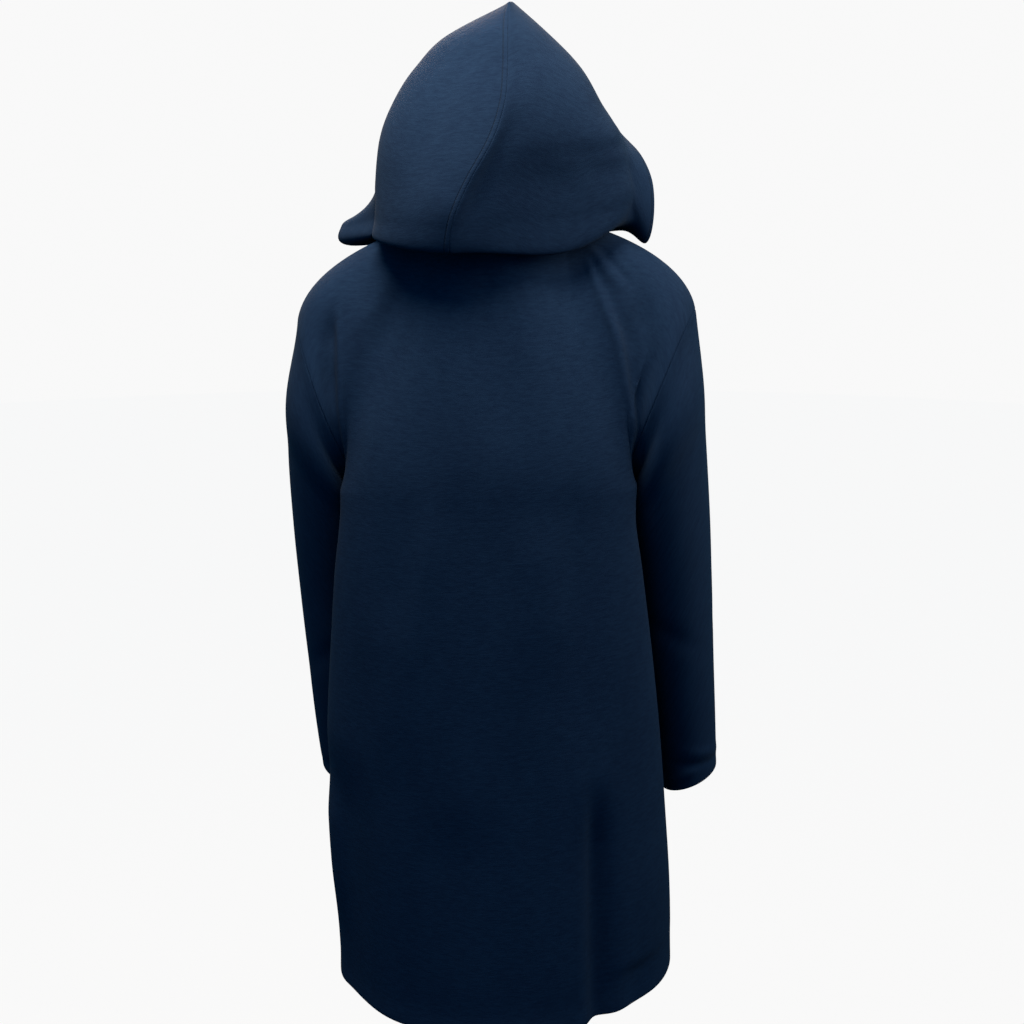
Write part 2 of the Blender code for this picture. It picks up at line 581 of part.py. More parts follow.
def wall(grid, normals, half, closed):
    """A closed body of cloth on both sides of the grid: its points and its triangles."""
    middle = drawn_in(grid, normals, closed)
    rows, count = grid.shape[:2]
    points = np.concatenate([(middle + normals * half).reshape(-1, 3), (middle - normals * half).reshape(-1, 3)])
    index = np.arange(rows * count).reshape(rows, count)
    if closed:
        index = np.concatenate([index, index[:, :1]], axis=1)
    guide = np.concatenate([(grid + normals * half).reshape(-1, 3), (grid - normals * half).reshape(-1, 3)])
    under = rows * count
    squares = np.stack([index[:-1, :-1], index[:-1, 1:], index[1:, 1:], index[1:, :-1]], -1).reshape(-1, 4)
    face = halved(guide, squares)
    edges = [index[0], index[-1, ::-1]]
    if not closed:
        edges += [index[:, -1], index[::-1, 0]]
    rims = [np.stack([edge[1:], edge[:-1], edge[:-1] + under, edge[1:] + under], -1) for edge in edges]
    return points, np.concatenate([face, face[:, ::-1] + under, halved(guide, np.concatenate(rims))])


def halved(points, squares):
    """Two triangles for each square, along its shorter diagonal. The points are those before the edges are
    drawn in, so that the two pieces at a seam split their facing rims alike."""
    first = np.linalg.norm(points[squares[:, 0]] - points[squares[:, 2]], axis=1)
    second = np.linalg.norm(points[squares[:, 1]] - points[squares[:, 3]], axis=1)
    turned = np.where((first <= second)[:, None], squares, np.roll(squares, -1, axis=1))
    return np.concatenate([turned[:, [0, 1, 2]], turned[:, [0, 2, 3]]])


# ---- fastenings ---------------------------------------------------------------------------------------

def on_front(grid, x, z, out):
    """Points over the front's facets at places x, z, moved out from its middle surface."""
    normals = normals_of(grid)
    squares = [(slice(None, -1), slice(None, -1)), (slice(None, -1), slice(1, None)),
               (slice(1, None), slice(1, None)), (slice(1, None), slice(None, -1))]

    def corner(values, i):
        return np.concatenate([values[squares[pick[i]]].reshape(-1, 3) for pick in ((0, 1, 2), (0, 2, 3))])

    first, second, third = (corner(grid, i)[:, [0, 2]] for i in range(3))
    flat_points = [corner(grid, i) for i in range(3)]
    flat_normals = [corner(normals, i) for i in range(3)]
    side, up = second - first, third - first
    area = side[:, 0] * up[:, 1] - side[:, 1] * up[:, 0]
    found = []
    for place in np.stack(np.broadcast_arrays(x, z), -1).reshape(-1, 2):
        way = place - first
        share_second = (way[:, 0] * up[:, 1] - way[:, 1] * up[:, 0]) / area
        share_third = (side[:, 0] * way[:, 1] - side[:, 1] * way[:, 0]) / area
        shares = np.stack([1.0 - share_second - share_third, share_second, share_third])
        best = np.argmax(shares.min(axis=0))
        point = sum(share * values[best] for share, values in zip(shares[:, best], flat_points))
        normal = sum(share * values[best] for share, values in zip(shares[:, best], flat_normals))
        found.append(point + normal / np.linalg.norm(normal) * out)
    return np.array(found).reshape(np.shape(np.broadcast_arrays(x, z)[0]) + (3,))


def tab(grid, start_x, z):
    """A rectangle of cloth that lies on a front, from start_x on."""
    x, up = np.meshgrid(start_x + np.linspace(0, TAB_WIDTH, TAB_STEPS + 1),
                        np.linspace(-TAB_HEIGHT / 2, TAB_HEIGHT / 2, TAB_STEPS))
    middle = on_front(grid, x, z + up - TILT * x, CLOTH / 2 + LAY_GAP + TAB_THICKNESS / 2)
    normals = normals_of(middle)
    return wall(middle, normals, np.full(x.shape + (1,), TAB_THICKNESS / 2), False)


def loop_route(left, right, z):
    """The cord loop: out of its tab on the left front, over that front's edge, round behind the toggle."""
    straight = np.linspace(TAB_X_LEFT - SEAM_GAP, LOOP_CENTRE_X, LOOP_STEPS, endpoint=False)
    turn = np.linspace(math.pi / 2, 3 * math.pi / 2, LOOP_STEPS)
    x = np.concatenate([straight, LOOP_CENTRE_X + LOOP_RADIUS * np.cos(turn), straight[::-1]])
    up = np.concatenate([np.full(LOOP_STEPS, LOOP_RADIUS), LOOP_RADIUS * np.sin(turn),
                         np.full(LOOP_STEPS, -LOOP_RADIUS)])
    over_left = on_front(left, x, z + up - TILT * x, CLOTH / 2 + LAY_GAP + LOOP_THICK / 2)
    over_right = on_front(right, x, z + up - TILT * x, CLOTH / 2 + 2 * LAY_GAP + STEM_THICK + LOOP_THICK / 2)
    return np.where((x > -LAP)[:, None], over_left, over_right)


def stem_route(right, z):
    """The short cord from the toggle's waist, in through the loop and along the right front to its tab."""
    low = CLOTH / 2 + LAY_GAP + STEM_THICK / 2
    high = TOGGLE_OUT - TOGGLE_WAIST - LAY_GAP
    turn = np.linspace(0, math.pi / 2, STEM_STEPS)
    x = TOGGLE_X - STEM_BEND * (1.0 - np.cos(turn))
    out = low + STEM_BEND * (1.0 - np.sin(turn))
    end = TAB_X_RIGHT + TAB_WIDTH + SEAM_GAP
    x = np.concatenate([[TOGGLE_X], x, np.linspace(x[-1], end, STEM_STEPS)[1:]])
    out = np.concatenate([[high], out, np.full(STEM_STEPS - 1, low)])
    return np.concatenate([on_front(right, px, z - TILT * px, po)[None] for px, po in zip(x, out)])


def toggle(right, z):
    """A turned toggle, upright in front of the loop: its points and faces."""
    ends = on_front(right, TOGGLE_X, z - TILT * TOGGLE_X + np.array((-TOGGLE_LENGTH, TOGGLE_LENGTH)) / 2,
                    TOGGLE_OUT)
    middle = on_front(right, TOGGLE_X, z - TILT * TOGGLE_X, TOGGLE_OUT)
    axis = (ends[1] - ends[0]) / np.linalg.norm(ends[1] - ends[0])
    across = np.cross(axis, (0.0, 1.0, 0.0))
    across /= np.linalg.norm(across)
    turn = np.linspace(0, 2 * math.pi, TOGGLE_SIDES, endpoint=False)[:, None]
    ring = across * np.cos(turn) + np.cross(axis, across) * np.sin(turn)
    height, radius = TOGGLE_PROFILE["height"], TOGGLE_PROFILE["radius"]
    points = middle + axis * height[:, None, None] + ring * radius[:, None, None]
    index = np.arange(points.shape[0] * TOGGLE_SIDES).reshape(-1, TOGGLE_SIDES)
    ahead = np.roll(index, -1, axis=1)
    sides = np.stack([index[:-1], ahead[:-1], ahead[1:], index[1:]], -1).reshape(-1, 4)
    return points.reshape(-1, 3), sides.tolist() + [index[0, ::-1].tolist(), index[-1].tolist()]


# ---- Blender objects ----------------------------------------------------------------------------------

def material(name, look):
    colour, roughness = look
    made = bpy.data.materials.new(name)
    made.use_nodes = True
    shader = made.node_tree.nodes["Principled BSDF"]
    shader.inputs["Base Color"].default_value = (*colour, 1.0)
    shader.inputs["Roughness"].default_value = roughness
    shader.inputs["Metallic"].default_value = 0.0
    return made


def add_mesh(name, points, faces, look):
    mesh = bpy.data.meshes.new(name)
    mesh.from_pydata([tuple(point) for point in points], [], [tuple(face) for face in faces])
    mesh.materials.append(material(name, look))
    mesh.shade_smooth()
    mesh.set_sharp_from_angle(angle=SHARP_ANGLE)
    bpy.context.collection.objects.link(bpy.data.objects.new(name, mesh))


def add_cord(name, route, thick):
    curve = bpy.data.curves.new(name, "CURVE")
    curve.dimensions = "3D"
    curve.bevel_depth = thick / 2
    curve.bevel_resolution = 2
    curve.use_fill_caps = True
    curve.render_resolution_u = 0
    line = curve.splines.new("POLY")
    line.points.add(len(route) - 1)
    for place, point in zip(line.points, route):
        place.co = (*point, 1.0)
    curve.materials.append(material(name, CORD_LOOK))
    bpy.context.collection.objects.link(bpy.data.objects.new(name, curve))


def add_cloth(grids):
    for name, (normals, half) in seam_normals(grids).items():
        grid, closed = grids[name]
        add_mesh(name, *wall(grid, normals, half, closed), WOOL_LOOK)


def add_fastenings(left, right):
    for number, z in enumerate(CLOSURE_ZS, start=1):
        add_mesh(f"loop_tab_{number}", *tab(left, TAB_X_LEFT, z), WOOL_LOOK)
        add_mesh(f"toggle_tab_{number}", *tab(right, TAB_X_RIGHT, z), WOOL_LOOK)
        add_mesh(f"toggle_{number}", *toggle(right, z), WOOD_LOOK)
        add_cord(f"loop_{number}", loop_route(left, right, z), LOOP_THICK)
        add_cord(f"toggle_cord_{number}", stem_route(right, z), STEM_THICK)


def main():
    for old in list(bpy.data.objects):
        bpy.data.objects.remove(old, do_unlink=True)
    grids = cloth_grids()
    add_cloth(grids)
    add_fastenings(grids["front_left"][0], grids["front_right"][0])


if __name__ == "__main__":
    main()
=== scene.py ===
"""The duffle coat's looks: its cloth as fine shells with soft folds, its fastenings, and a pale studio.

Metres, +Z up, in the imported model's own frame: the coat's back faces +Y and +X is the wearer's left. Every
cloth piece is the surface of its CAD node again, worked out on a finer grid with the smaller creases added.
"""

import math

import bpy
import numpy as np
from bpy.props import FloatProperty, FloatVectorProperty, PointerProperty
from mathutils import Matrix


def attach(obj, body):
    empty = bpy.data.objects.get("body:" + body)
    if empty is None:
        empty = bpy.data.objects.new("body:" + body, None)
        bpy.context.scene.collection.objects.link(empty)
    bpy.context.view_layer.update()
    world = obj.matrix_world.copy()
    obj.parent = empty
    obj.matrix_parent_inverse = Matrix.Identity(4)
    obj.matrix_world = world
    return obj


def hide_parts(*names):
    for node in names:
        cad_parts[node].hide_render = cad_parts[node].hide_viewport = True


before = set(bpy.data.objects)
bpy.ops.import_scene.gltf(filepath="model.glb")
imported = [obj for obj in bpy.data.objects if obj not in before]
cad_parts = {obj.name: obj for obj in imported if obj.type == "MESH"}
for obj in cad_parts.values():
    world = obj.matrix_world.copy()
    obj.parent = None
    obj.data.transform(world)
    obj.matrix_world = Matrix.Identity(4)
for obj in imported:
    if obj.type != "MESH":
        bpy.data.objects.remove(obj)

bl_info = {
    "name": "Duffle Coat",
    "version": (1, 0, 0),
    "blender": (4, 5, 0),
    "location": "3D View > Sidebar > Coat",
    "description": "Hooded duffle coat in felted wool, filled out with no wearer",
    "category": "Object",
}


# ---- the pattern: sizes of the cloth pieces -------------------------------------------------------------

CLOTH = 0.0025              # thickness of the felted wool
HEM_SIDE_Z = -0.9205        # height of the hem at the side seams
HEM_DIP = 0.0115            # how much lower the hem is at the centre back and front
CHEST_Z = -0.255            # height of the underarm, where the armholes start
TILT = 0.036                # drop of the whole coat per metre towards the wearer's left
SIDE_ANGLE = math.radians(105.0)   # where the side seam lies, round from the centre back
LAP = 0.034                 # each front's reach past the centre
LAP_DEPTH = 0.0036          # how far the under front lies behind the upper one
LAP_SET_START = 2.2         # in reaches from the centre: where the under front starts to step back
LAP_SET_RUN = 0.8           # and the stretch over which it does
ARM_SWING = 0.050           # how far the right arm leans out, and the left one in, per metre of drop
ARM_FORWARD = 0.030         # how far the left arm hangs ahead of the right one, per metre of drop
BACK_NECK_SHARE = 5 / 12    # the neck's part of the back's top edge, from the centre; the rest is shoulder
FRONT_NECK_SHARE = 6 / 13
HOOD_END = 2 / 3            # how far down the front neck the hood reaches
HOOD_TURN = 5 / 9           # place of the neck point along the hood's neck edge

# Rough lengths of the pieces, which set how fine their grids are
BACK_WIDTH = 0.62
FRONT_WIDTH = 0.31
SKIRT_LENGTH = 0.67
ARMHOLE_LENGTH = 0.30
SLEEVE_ROUND = 0.42
SLEEVE_LENGTH = 0.60
HOOD_ACROSS = 0.33
HOOD_UP = 0.42
HOOD_STEP_SHARE = 0.75      # the hood's grid step, as a share of the other pieces'
HOOD_ROW_POINTS = 481       # points of a hood row from which its even places are read
LEAST_STEPS = 4             # fewest even steps along a side of a grid
PLACE_DIGITS = 7            # places that agree to so many digits are one
EDGE_PLACES = (0.00001, 0.0002, 0.0006, 0.0012, 0.0019, 0.0028)   # grid places by each edge, from the edge
EDGE_ROUND = 0.0025         # distance from the edge over which the cloth rounds off
RIM_SHARE = 0.05            # how far the rim keeps from a full quarter circle, so that seams close
HEM_FLARE = 0.0018          # how far the turned-up hem stands out at its very edge
HEM_FLARE_REACH = 0.020     # height over which it does
HEM_FLARE_CALM = 0.4        # share of a panel by its side seam over which it stands out less
FAR = 1.0                   # distance noted where no edge is near

# Fastenings on the front
CLOSURE_ZS = (-0.120, -0.262, -0.404, -0.546)   # heights of the toggles
LAY_GAP = 0.0012            # between the cloth and what lies on it
TAB_WIDTH = 0.036
TAB_HEIGHT = 0.032
TAB_THICKNESS = 0.0020
TAB_X_LEFT = 0.010          # inner end of the tab on the left front
TAB_X_RIGHT = -0.118        # outer end of the tab on the right front
LOOP_THICK = 0.0040
LOOP_CENTRE_X = -0.072      # centre of the loop's bend
LOOP_RADIUS = 0.0080
LOOP_RUN_POINTS = 40        # along each straight side
LOOP_BEND_POINTS = 25
LOOP_SIDES = 16             # points round the cord
STEM_THICK = 0.0030
STEM_BEND = 0.0050          # radius of the short cord's turn
STEM_DROP_POINTS = 6        # from the toggle in to the turn
STEM_BEND_POINTS = 12
STEM_RUN_POINTS = 20        # from the turn to the tab
STEM_SIDES = 14
CAP_RINGS = 4               # rings of a cord's rounded end
CAP_TIP = 0.02              # its last ring, as a share of the cord's radius
TOGGLE_X = -0.070
TOGGLE_OUT = 0.0180         # toggle's axis above the middle of the right front's cloth
TOGGLE_LENGTH = 0.050
TOGGLE_WAIST = 0.0046       # radius in the middle, where the short cord holds it
TOGGLE_END = 0.0030         # over which its ends round off
TOGGLE_BOWL = 0.9           # how much of a full round its ends take
TOGGLE_RINGS = 81
TOGGLE_SIDES = 40
TAB_STEP = 0.0012           # grid step of a tab
CORD_UNDER = 0.0140         # how far the cords' ends raise the tab that holds them
LAP_STEP = 0.0060           # over which a loop steps down from the upper front to the under one
FRONT_REACH = 0.17          # half width of the part of a front that fastenings can lie on
PLANE_POINTS = 12           # grid points that a place on a front is worked out from
ALONG_Y = (0.0, 1.0, 0.0)
ALONG_Z = (0.0, 0.0, 1.0)

# Finishes
STITCH_ROW = 0.0055         # from an edge to its row of stitches
STITCH_GROOVE = 0.0014      # half breadth of the groove that the row presses in
STITCH_LENGTH = 0.0038
THREAD_ENDS = (0.44, 0.34)  # places in a stitch, from its middle, where its end starts and is whole
THREAD_SIDES = (0.36, 0.22)   # places across the groove, from its middle, where its side does
THREAD_RISE = 0.5           # height of the thread, as a share of the groove's depth
STRAND = 0.0021             # breadth of a strand of the braided cords
BRAID_SHADE_HEIGHTS = (-0.2, 1.0)   # heights of the braid that are darkest and lightest: painted shade between the strands
FELT_ROUGHNESS = 0.6        # how much of each layer is its finer detail
FELT_TONES = (0.33, 0.67)   # sums of the layers that have the wool's own colour and the nap's
GRAIN_STRETCH = (1.0, 1.0, 0.09)   # the grain runs along the toggle
STREAK_SCALE = 420.0
STREAK_WAVER = 0.6
PORE_SCALE = 2600.0
PORE_SHARE = 0.25           # the pores' part in the wood's tone, of which the streaks make the rest
GRAIN_TONES = (0.35, 0.65)  # sums of streaks and pores that are darkest and lightest
PORE_TONES = (0.3, 0.7)
WOOD_ROUGHNESS = (0.34, 0.5)

# Studio
LOOK_AT = (-0.022, 0.0, -0.3025)   # what the camera looks at
LAMPS = {                          # diameter, place and aim of each lamp
    "key": (0.9, (0.21, 0.28, 1.12), (0.0, 0.05, 0.10)),     # above the hood, towards the wearer's left
    "fill": (0.8, (-1.10, 0.12, 0.48), LOOK_AT),             # towards the wearer's right
    "front": (0.8, (0.45, -1.25, 1.05), LOOK_AT),            # before the coat, so that its front shows too
}
FLOOR_Z = -1.45             # about half a metre below the hem, as when the coat is worn
FLOOR_RADIUS = 8.0
FLOOR_CORNERS = 64
FLOOR_PALENESS = 0.01
FLOOR_LAMPS = 1.3           # how brightly the three lamps light the floor where it shows


def table(names, *rows):
    """The rows as one array for each named column."""
    return dict(zip(names.split(), np.array(rows, float).T))


# Level sections of the body, from the hem up: half width at its widest, where that lies front to back, how
# far the centre back and centre front reach, where the hanging arms press into the sides and how deep their
# hollows are, and how far the section's middle drifts sideways.
SECTIONS = table(
    "z      half_width widest_y back_y  front_y dent_y dent_left dent_right drift",
    (-0.935, 0.2225,  -0.004,   0.192, -0.168, -0.060, 0.000,    0.000,    -0.0110),
    (-0.800, 0.2215,   0.014,   0.184, -0.163, -0.068, 0.018,    0.003,    -0.0080),
    (-0.700, 0.2195,   0.028,   0.176, -0.158, -0.068, 0.040,    0.010,    -0.0040),
    (-0.600, 0.2150,   0.042,   0.169, -0.154, -0.058, 0.055,    0.020,    -0.0020),
    (-0.480, 0.2070,   0.052,   0.161, -0.150, -0.040, 0.053,    0.034,     0.0000),
    (-0.360, 0.1970,   0.060,   0.153, -0.148, -0.018, 0.047,    0.040,     0.0020),
    (-0.290, 0.1905,   0.064,   0.148, -0.146,  0.000, 0.040,    0.036,     0.0020),
    (-0.255, 0.1880,   0.064,   0.146, -0.145,  0.004, 0.024,    0.024,     0.0010),
)
DENT_REACH = 0.062          # half breadth of the arm's hollow, front to back

# Seam lines that close the top of the body, for the wearer's left: ends and end slopes of each curve
NECK_BACK = np.array((0.0, 0.062, 0.045))
NECK_POINT = np.array((0.082, -0.008, 0.062))
NECK_FRONT = np.array((0.0, -0.105, -0.022))
SHOULDER_TIP = np.array((0.2455, 0.0, -0.052))
NECK_BACK_SLOPES = np.array(((0.13, 0.0, 0.0), (0.02, -0.13, 0.067)))
NECK_FRONT_SLOPES = np.array(((0.0, -0.14, -0.05), (-0.13, 0.0, 0.0)))
SHOULDER_SLOPES = np.array(((0.175, 0.004, -0.045), (0.035, 0.002, -0.185)))

# Rise of the panels from chest to neck and shoulder. share runs from 0 at the centre line to 1 at the
# armhole, rise is how steeply an upright line leaves the chest, turn is what is added there to bend it round
# the armhole, and end is the slope with which it reaches the top.
BACK_RISE = table(
    "share rise   turn_x  turn_y  end_x  end_y   end_z",
    (0.00,  0.290,  0.000,  0.000, 0.000, -0.110, 0.150),
    (0.42,  0.280,  0.000,  0.000, 0.000, -0.180, 0.085),
    (0.65,  0.250, -0.060,  0.010, 0.020, -0.235, 0.030),
    (0.85,  0.190, -0.090,  0.120, 0.045, -0.265, 0.015),
    (1.00,  0.090,  0.020,  0.330, 0.040, -0.280, 0.020),
)
FRONT_RISE = table(
    "share rise   turn_x  turn_y  end_x  end_y   end_z",
    (0.00,  0.240,  0.000,  0.000, 0.000,  0.070, 0.200),
    (0.46,  0.260,  0.000,  0.000, 0.000,  0.170, 0.090),
    (0.70,  0.240,  0.000, -0.010, 0.000,  0.230, 0.060),
    (0.87,  0.160, -0.100, -0.110, 0.045,  0.250, 0.060),
    (1.00,  0.050, -0.020, -0.260, 0.030,  0.270, 0.050),
)
LEAN_STEP = 0.01            # drop over which the chest's own slope is measured
CORNER_EASE = 0.16          # share of the top edge, each way, that its corner is rounded over below the seam
EASE_FADE = 0.4             # share by the shoulder tip over which that shrinks to nothing
EASE_SAMPLES = 9            # places whose mean it is
EASE_ANGLE = math.pi / 2.4  # angle of the cosine that weighs the farthest two of them
EASE_POWER = 5              # power of the height with which the true corner comes back

FOLD_START = 0.3            # share of a crease's line over which it begins
FOLD_WANE = 0.45            # share of it over which it wanes towards its lower end
FOLD_END = 0.2              # share of it, past the lower end, over which what is left dies away
FOLD_CALM = 0.10            # share of a panel by its side seam over which creases die away
RUMPLE_CALM = 0.12          # and over which the long waves do
TOP_CALM = 0.16             # share of the armhole's height, by the top, over which both do

# Creases in the body's cloth, a row each: where the line starts and ends, seen from behind or in front, half
# its breadth, how far it stands out (+) or sinks in (-), and how much of that it still has at its lower end.
BACK_FOLDS = table(
    "top_x  top_z   low_x   low_z   breadth height  low_share",
    (-0.180, 0.005, -0.203, -0.215, 0.022, -0.0090, 0.2),     # hollow behind the right armhole
    (-0.136, 0.030, -0.186, -0.260, 0.013,  0.0040, 0.4),     # edge that falls from the right of the neck
    (0.195, -0.020,  0.206, -0.200, 0.020, -0.0080, 0.2),     # hollow behind the left armhole
    (0.160,  0.000,  0.187, -0.240, 0.014,  0.0030, 0.4),
    (0.100,  0.020,  0.145, -0.190, 0.030, -0.0050, 0.1),     # slanting hollow over the left shoulder blade
    (0.000,  0.030, -0.006, -0.230, 0.034, -0.0040, 0.0),
    (0.116, -0.360,  0.106, -0.640, 0.030,  0.0035, 0.0),
    (-0.062, -0.260, -0.084, -0.520, 0.036, 0.0035, 0.0),
    (-0.138, -0.600, -0.150, -0.935, 0.017, -0.0150, 1.0),    # deep fold that runs into the hem
    (0.206, -0.620,  0.196, -0.860, 0.018,  0.0050, 0.0),
    (0.190, -0.560,  0.174, -0.935, 0.046, -0.0080, 1.0),     # the hem's left corner turns in
    (-0.196, -0.860, -0.190, -0.935, 0.022, -0.0060, 1.0),
    (0.030, -0.620,  0.050, -0.935, 0.045, -0.0040, 1.0),
)
FRONT_FOLDS = table(
    "top_x  top_z   low_x   low_z   breadth height  low_share",
    (0.100,  0.000,  0.120, -0.230, 0.030, -0.0050, 0.1),
    (-0.110, 0.000, -0.124, -0.250, 0.026, -0.0060, 0.1),
    (0.126, -0.480,  0.146, -0.935, 0.026, -0.0100, 1.0),
    (-0.116, -0.560, -0.140, -0.935, 0.024, -0.0080, 1.0),
    (-0.150, -0.300, -0.136, -0.560, 0.028,  0.0040, 0.0),
    (0.080, -0.300,  0.090, -0.640, 0.034,  0.0035, 0.0),
)

# Smaller creases, which the CAD cloth is too coarse for
BACK_CREASES = table(
    "top_x  top_z   low_x   low_z   breadth height  low_share",
    (-0.112, 0.036, -0.166, -0.030, 0.0055, 0.0024, 0.0),      # small folds that spread from the neck point
    (-0.126, 0.034, -0.180, -0.028, 0.0055, -0.0024, 0.0),
    (-0.150, 0.036, -0.190, -0.010, 0.0060, 0.0014, 0.0),
    (-0.110, 0.030, -0.165, -0.100, 0.0045, 0.0032, 0.0),      # crisp edge from neck to right underarm
    (-0.148, -0.040, -0.182, -0.205, 0.0045, 0.0032, 0.5),
    (-0.126, 0.020, -0.177, -0.100, 0.0090, -0.0042, 0.0),     # and the hollow beyond it
    (-0.162, -0.040, -0.193, -0.205, 0.0080, -0.0044, 0.5),
    (0.183, -0.025, 0.174, -0.175, 0.0045, 0.0032, 0.4),       # the same on the left
    (0.196, -0.030, 0.186, -0.175, 0.0080, -0.0048, 0.4),
    (0.098, 0.010,  0.142, -0.115, 0.0120, -0.0032, 0.0),      # soft folds over the shoulder blades
    (0.116, 0.020,  0.158, -0.075, 0.0120, 0.0022, 0.0),
    (-0.028, 0.020, -0.030, -0.220, 0.0220, -0.0030, 0.0),
    (0.050, -0.230, 0.100, -0.560, 0.0200, 0.0022, 0.0),       # long soft folds down the back
    (0.028, -0.200, 0.036, -0.480, 0.0160, -0.0020, 0.0),
    (-0.110, -0.220, -0.098, -0.420, 0.0180, -0.0018, 0.0),
    (0.203, -0.600, 0.192, -0.940, 0.0110, 0.0030, 1.0),
    (-0.121, -0.560, -0.1275, -0.940, 0.0065, 0.0026, 1.0),    # crisp edge of the deep fold at the hem
)

# Long waves of the cloth: height, waves per metre across and up, and phase
RUMPLES = table(
    "height  across up    phase",
    (0.00060, 5.1,  0.9,  0.30),
    (0.00045, -3.2, 2.1,  1.70),
    (0.00030, 9.0,  1.7,  2.90),
    (0.00022, 7.1,  -4.0, 4.10),
)

# Creases across a sleeve: which side it is on, its distance down the sleeve, where round the arm its middle
# is in radians, how far it slants for each of them, half its breadth, how many it reaches, and its height
SLEEVE_CREASES = table(
    "side down   centre slant   breadth reach height",
    (-1,  0.500, 1.90,  0.010,  0.0070, 0.8,  -0.0030),
    (-1,  0.486, 2.30,  0.014,  0.0080, 0.7,   0.0022),
    (-1,  0.512, 1.40, -0.012,  0.0060, 0.6,   0.0018),
    (-1,  0.300, 1.20,  0.030,  0.0160, 0.9,  -0.0022),
    (-1,  0.255, 4.40, -0.040,  0.0140, 0.8,  -0.0030),
    (-1,  0.285, 4.60,  0.030,  0.0140, 0.8,  -0.0026),
    (1,   0.270, 4.50,  0.040,  0.0150, 0.8,  -0.0028),
    (1,   0.305, 4.30, -0.030,  0.0130, 0.8,  -0.0024),
    (1,   0.330, 1.50,  0.030,  0.0170, 0.8,  -0.0020),
    (1,   0.505, 1.70,  0.012,  0.0080, 0.8,  -0.0018),
)
SLEEVE_CALM = 0.03          # distance from the armhole over which they die away

# Creases of the hood seen from behind: side, ends of the line, half breadth and height
HOOD_CREASES = table(
    "side start_x start_z end_x  end_z  breadth height",
    (-1, -0.032, 0.178,  0.014, 0.070, 0.015, -0.0040),     # hollow to the right of the seam's bend
    (-1, -0.075, 0.140, -0.140, 0.100, 0.018,  0.0016),     # lifted cloth that runs out to the face edge
    (1,   0.040, 0.230,  0.085, 0.120, 0.020, -0.0018),
    (1,   0.060, 0.110,  0.020, 0.060, 0.018,  0.0020),
)
HOOD_CREASE_FADE = 0.25     # half of the stretch, about each end of its line, over which a crease starts
HOOD_SEAM_CALM = 0.06       # shares of the cloth over which they die away by the seam, foot and crown
HOOD_FOOT_CALM = 0.08
HOOD_CROWN_CALM = 0.05
HOOD_BACK_SHARE = 0.62      # share of the cloth, from the seam, that can be seen from behind
HOOD_BACK_CALM = 0.1        # and the last stretch of it, over which they die away too

# Tucks of the hood that follow the cloth: side, where each starts and ends as shares from the seam to the
# face edge and from the neck to the crown, half breadth as such a share, and height
HOOD_TUCKS = table(
    "side low_place low_up high_place high_up breadth height",
    (1,   0.66,     0.14,  0.62,      0.34,   0.050,  -0.0060),
)
HOOD_TUCK_FADE = 0.2        # half of the stretch, about each end of its line, over which a tuck starts

# The turned toggle: radius at heights along its axis
TOGGLE_PROFILE = table(
    "height  radius",
    (-0.0250, 0.0040),
    (-0.0232, 0.0056),
    (-0.0120, 0.0066),
    (-0.0045, 0.0054),
    (0.0000,  TOGGLE_WAIST),
    (0.0045,  0.0054),
    (0.0120,  0.0066),
    (0.0232,  0.0056),
    (0.0250,  0.0040),
)

# Rings of the left sleeve below its armhole: distance down the sleeve, centre, half breadth across the arm,
# half depth front to back, and how many degrees the ring's outer side is tipped up.
SLEEVE_RINGS = table(
    "down  x       y       z       half_breadth half_depth tip",
    (0.042, 0.2130,  0.006, -0.1950, 0.0880,      0.078,     61.7),
    (0.110, 0.2155, -0.006, -0.2625, 0.0700,      0.074,     48.6),
    (0.185, 0.2190, -0.018, -0.3375, 0.0542,      0.070,     30.4),
    (0.267, 0.2215, -0.032, -0.4200, 0.0468,      0.066,     12.0),
    (0.360, 0.2245, -0.044, -0.5125, 0.0431,      0.061,      4.0),
    (0.449, 0.2285, -0.057, -0.6010, 0.0395,      0.057,      2.0),
    (0.532, 0.2315, -0.069, -0.6820, 0.0380,      0.054,     20.0),
)
# Way from the left armhole to the ring halfway to the first one, at the underarm and at the shoulder tip
UNDERARM_SETOFF = np.array((0.014, -0.002, -0.010))
TIP_SETOFF = np.array((0.003, 0.0, -0.022))

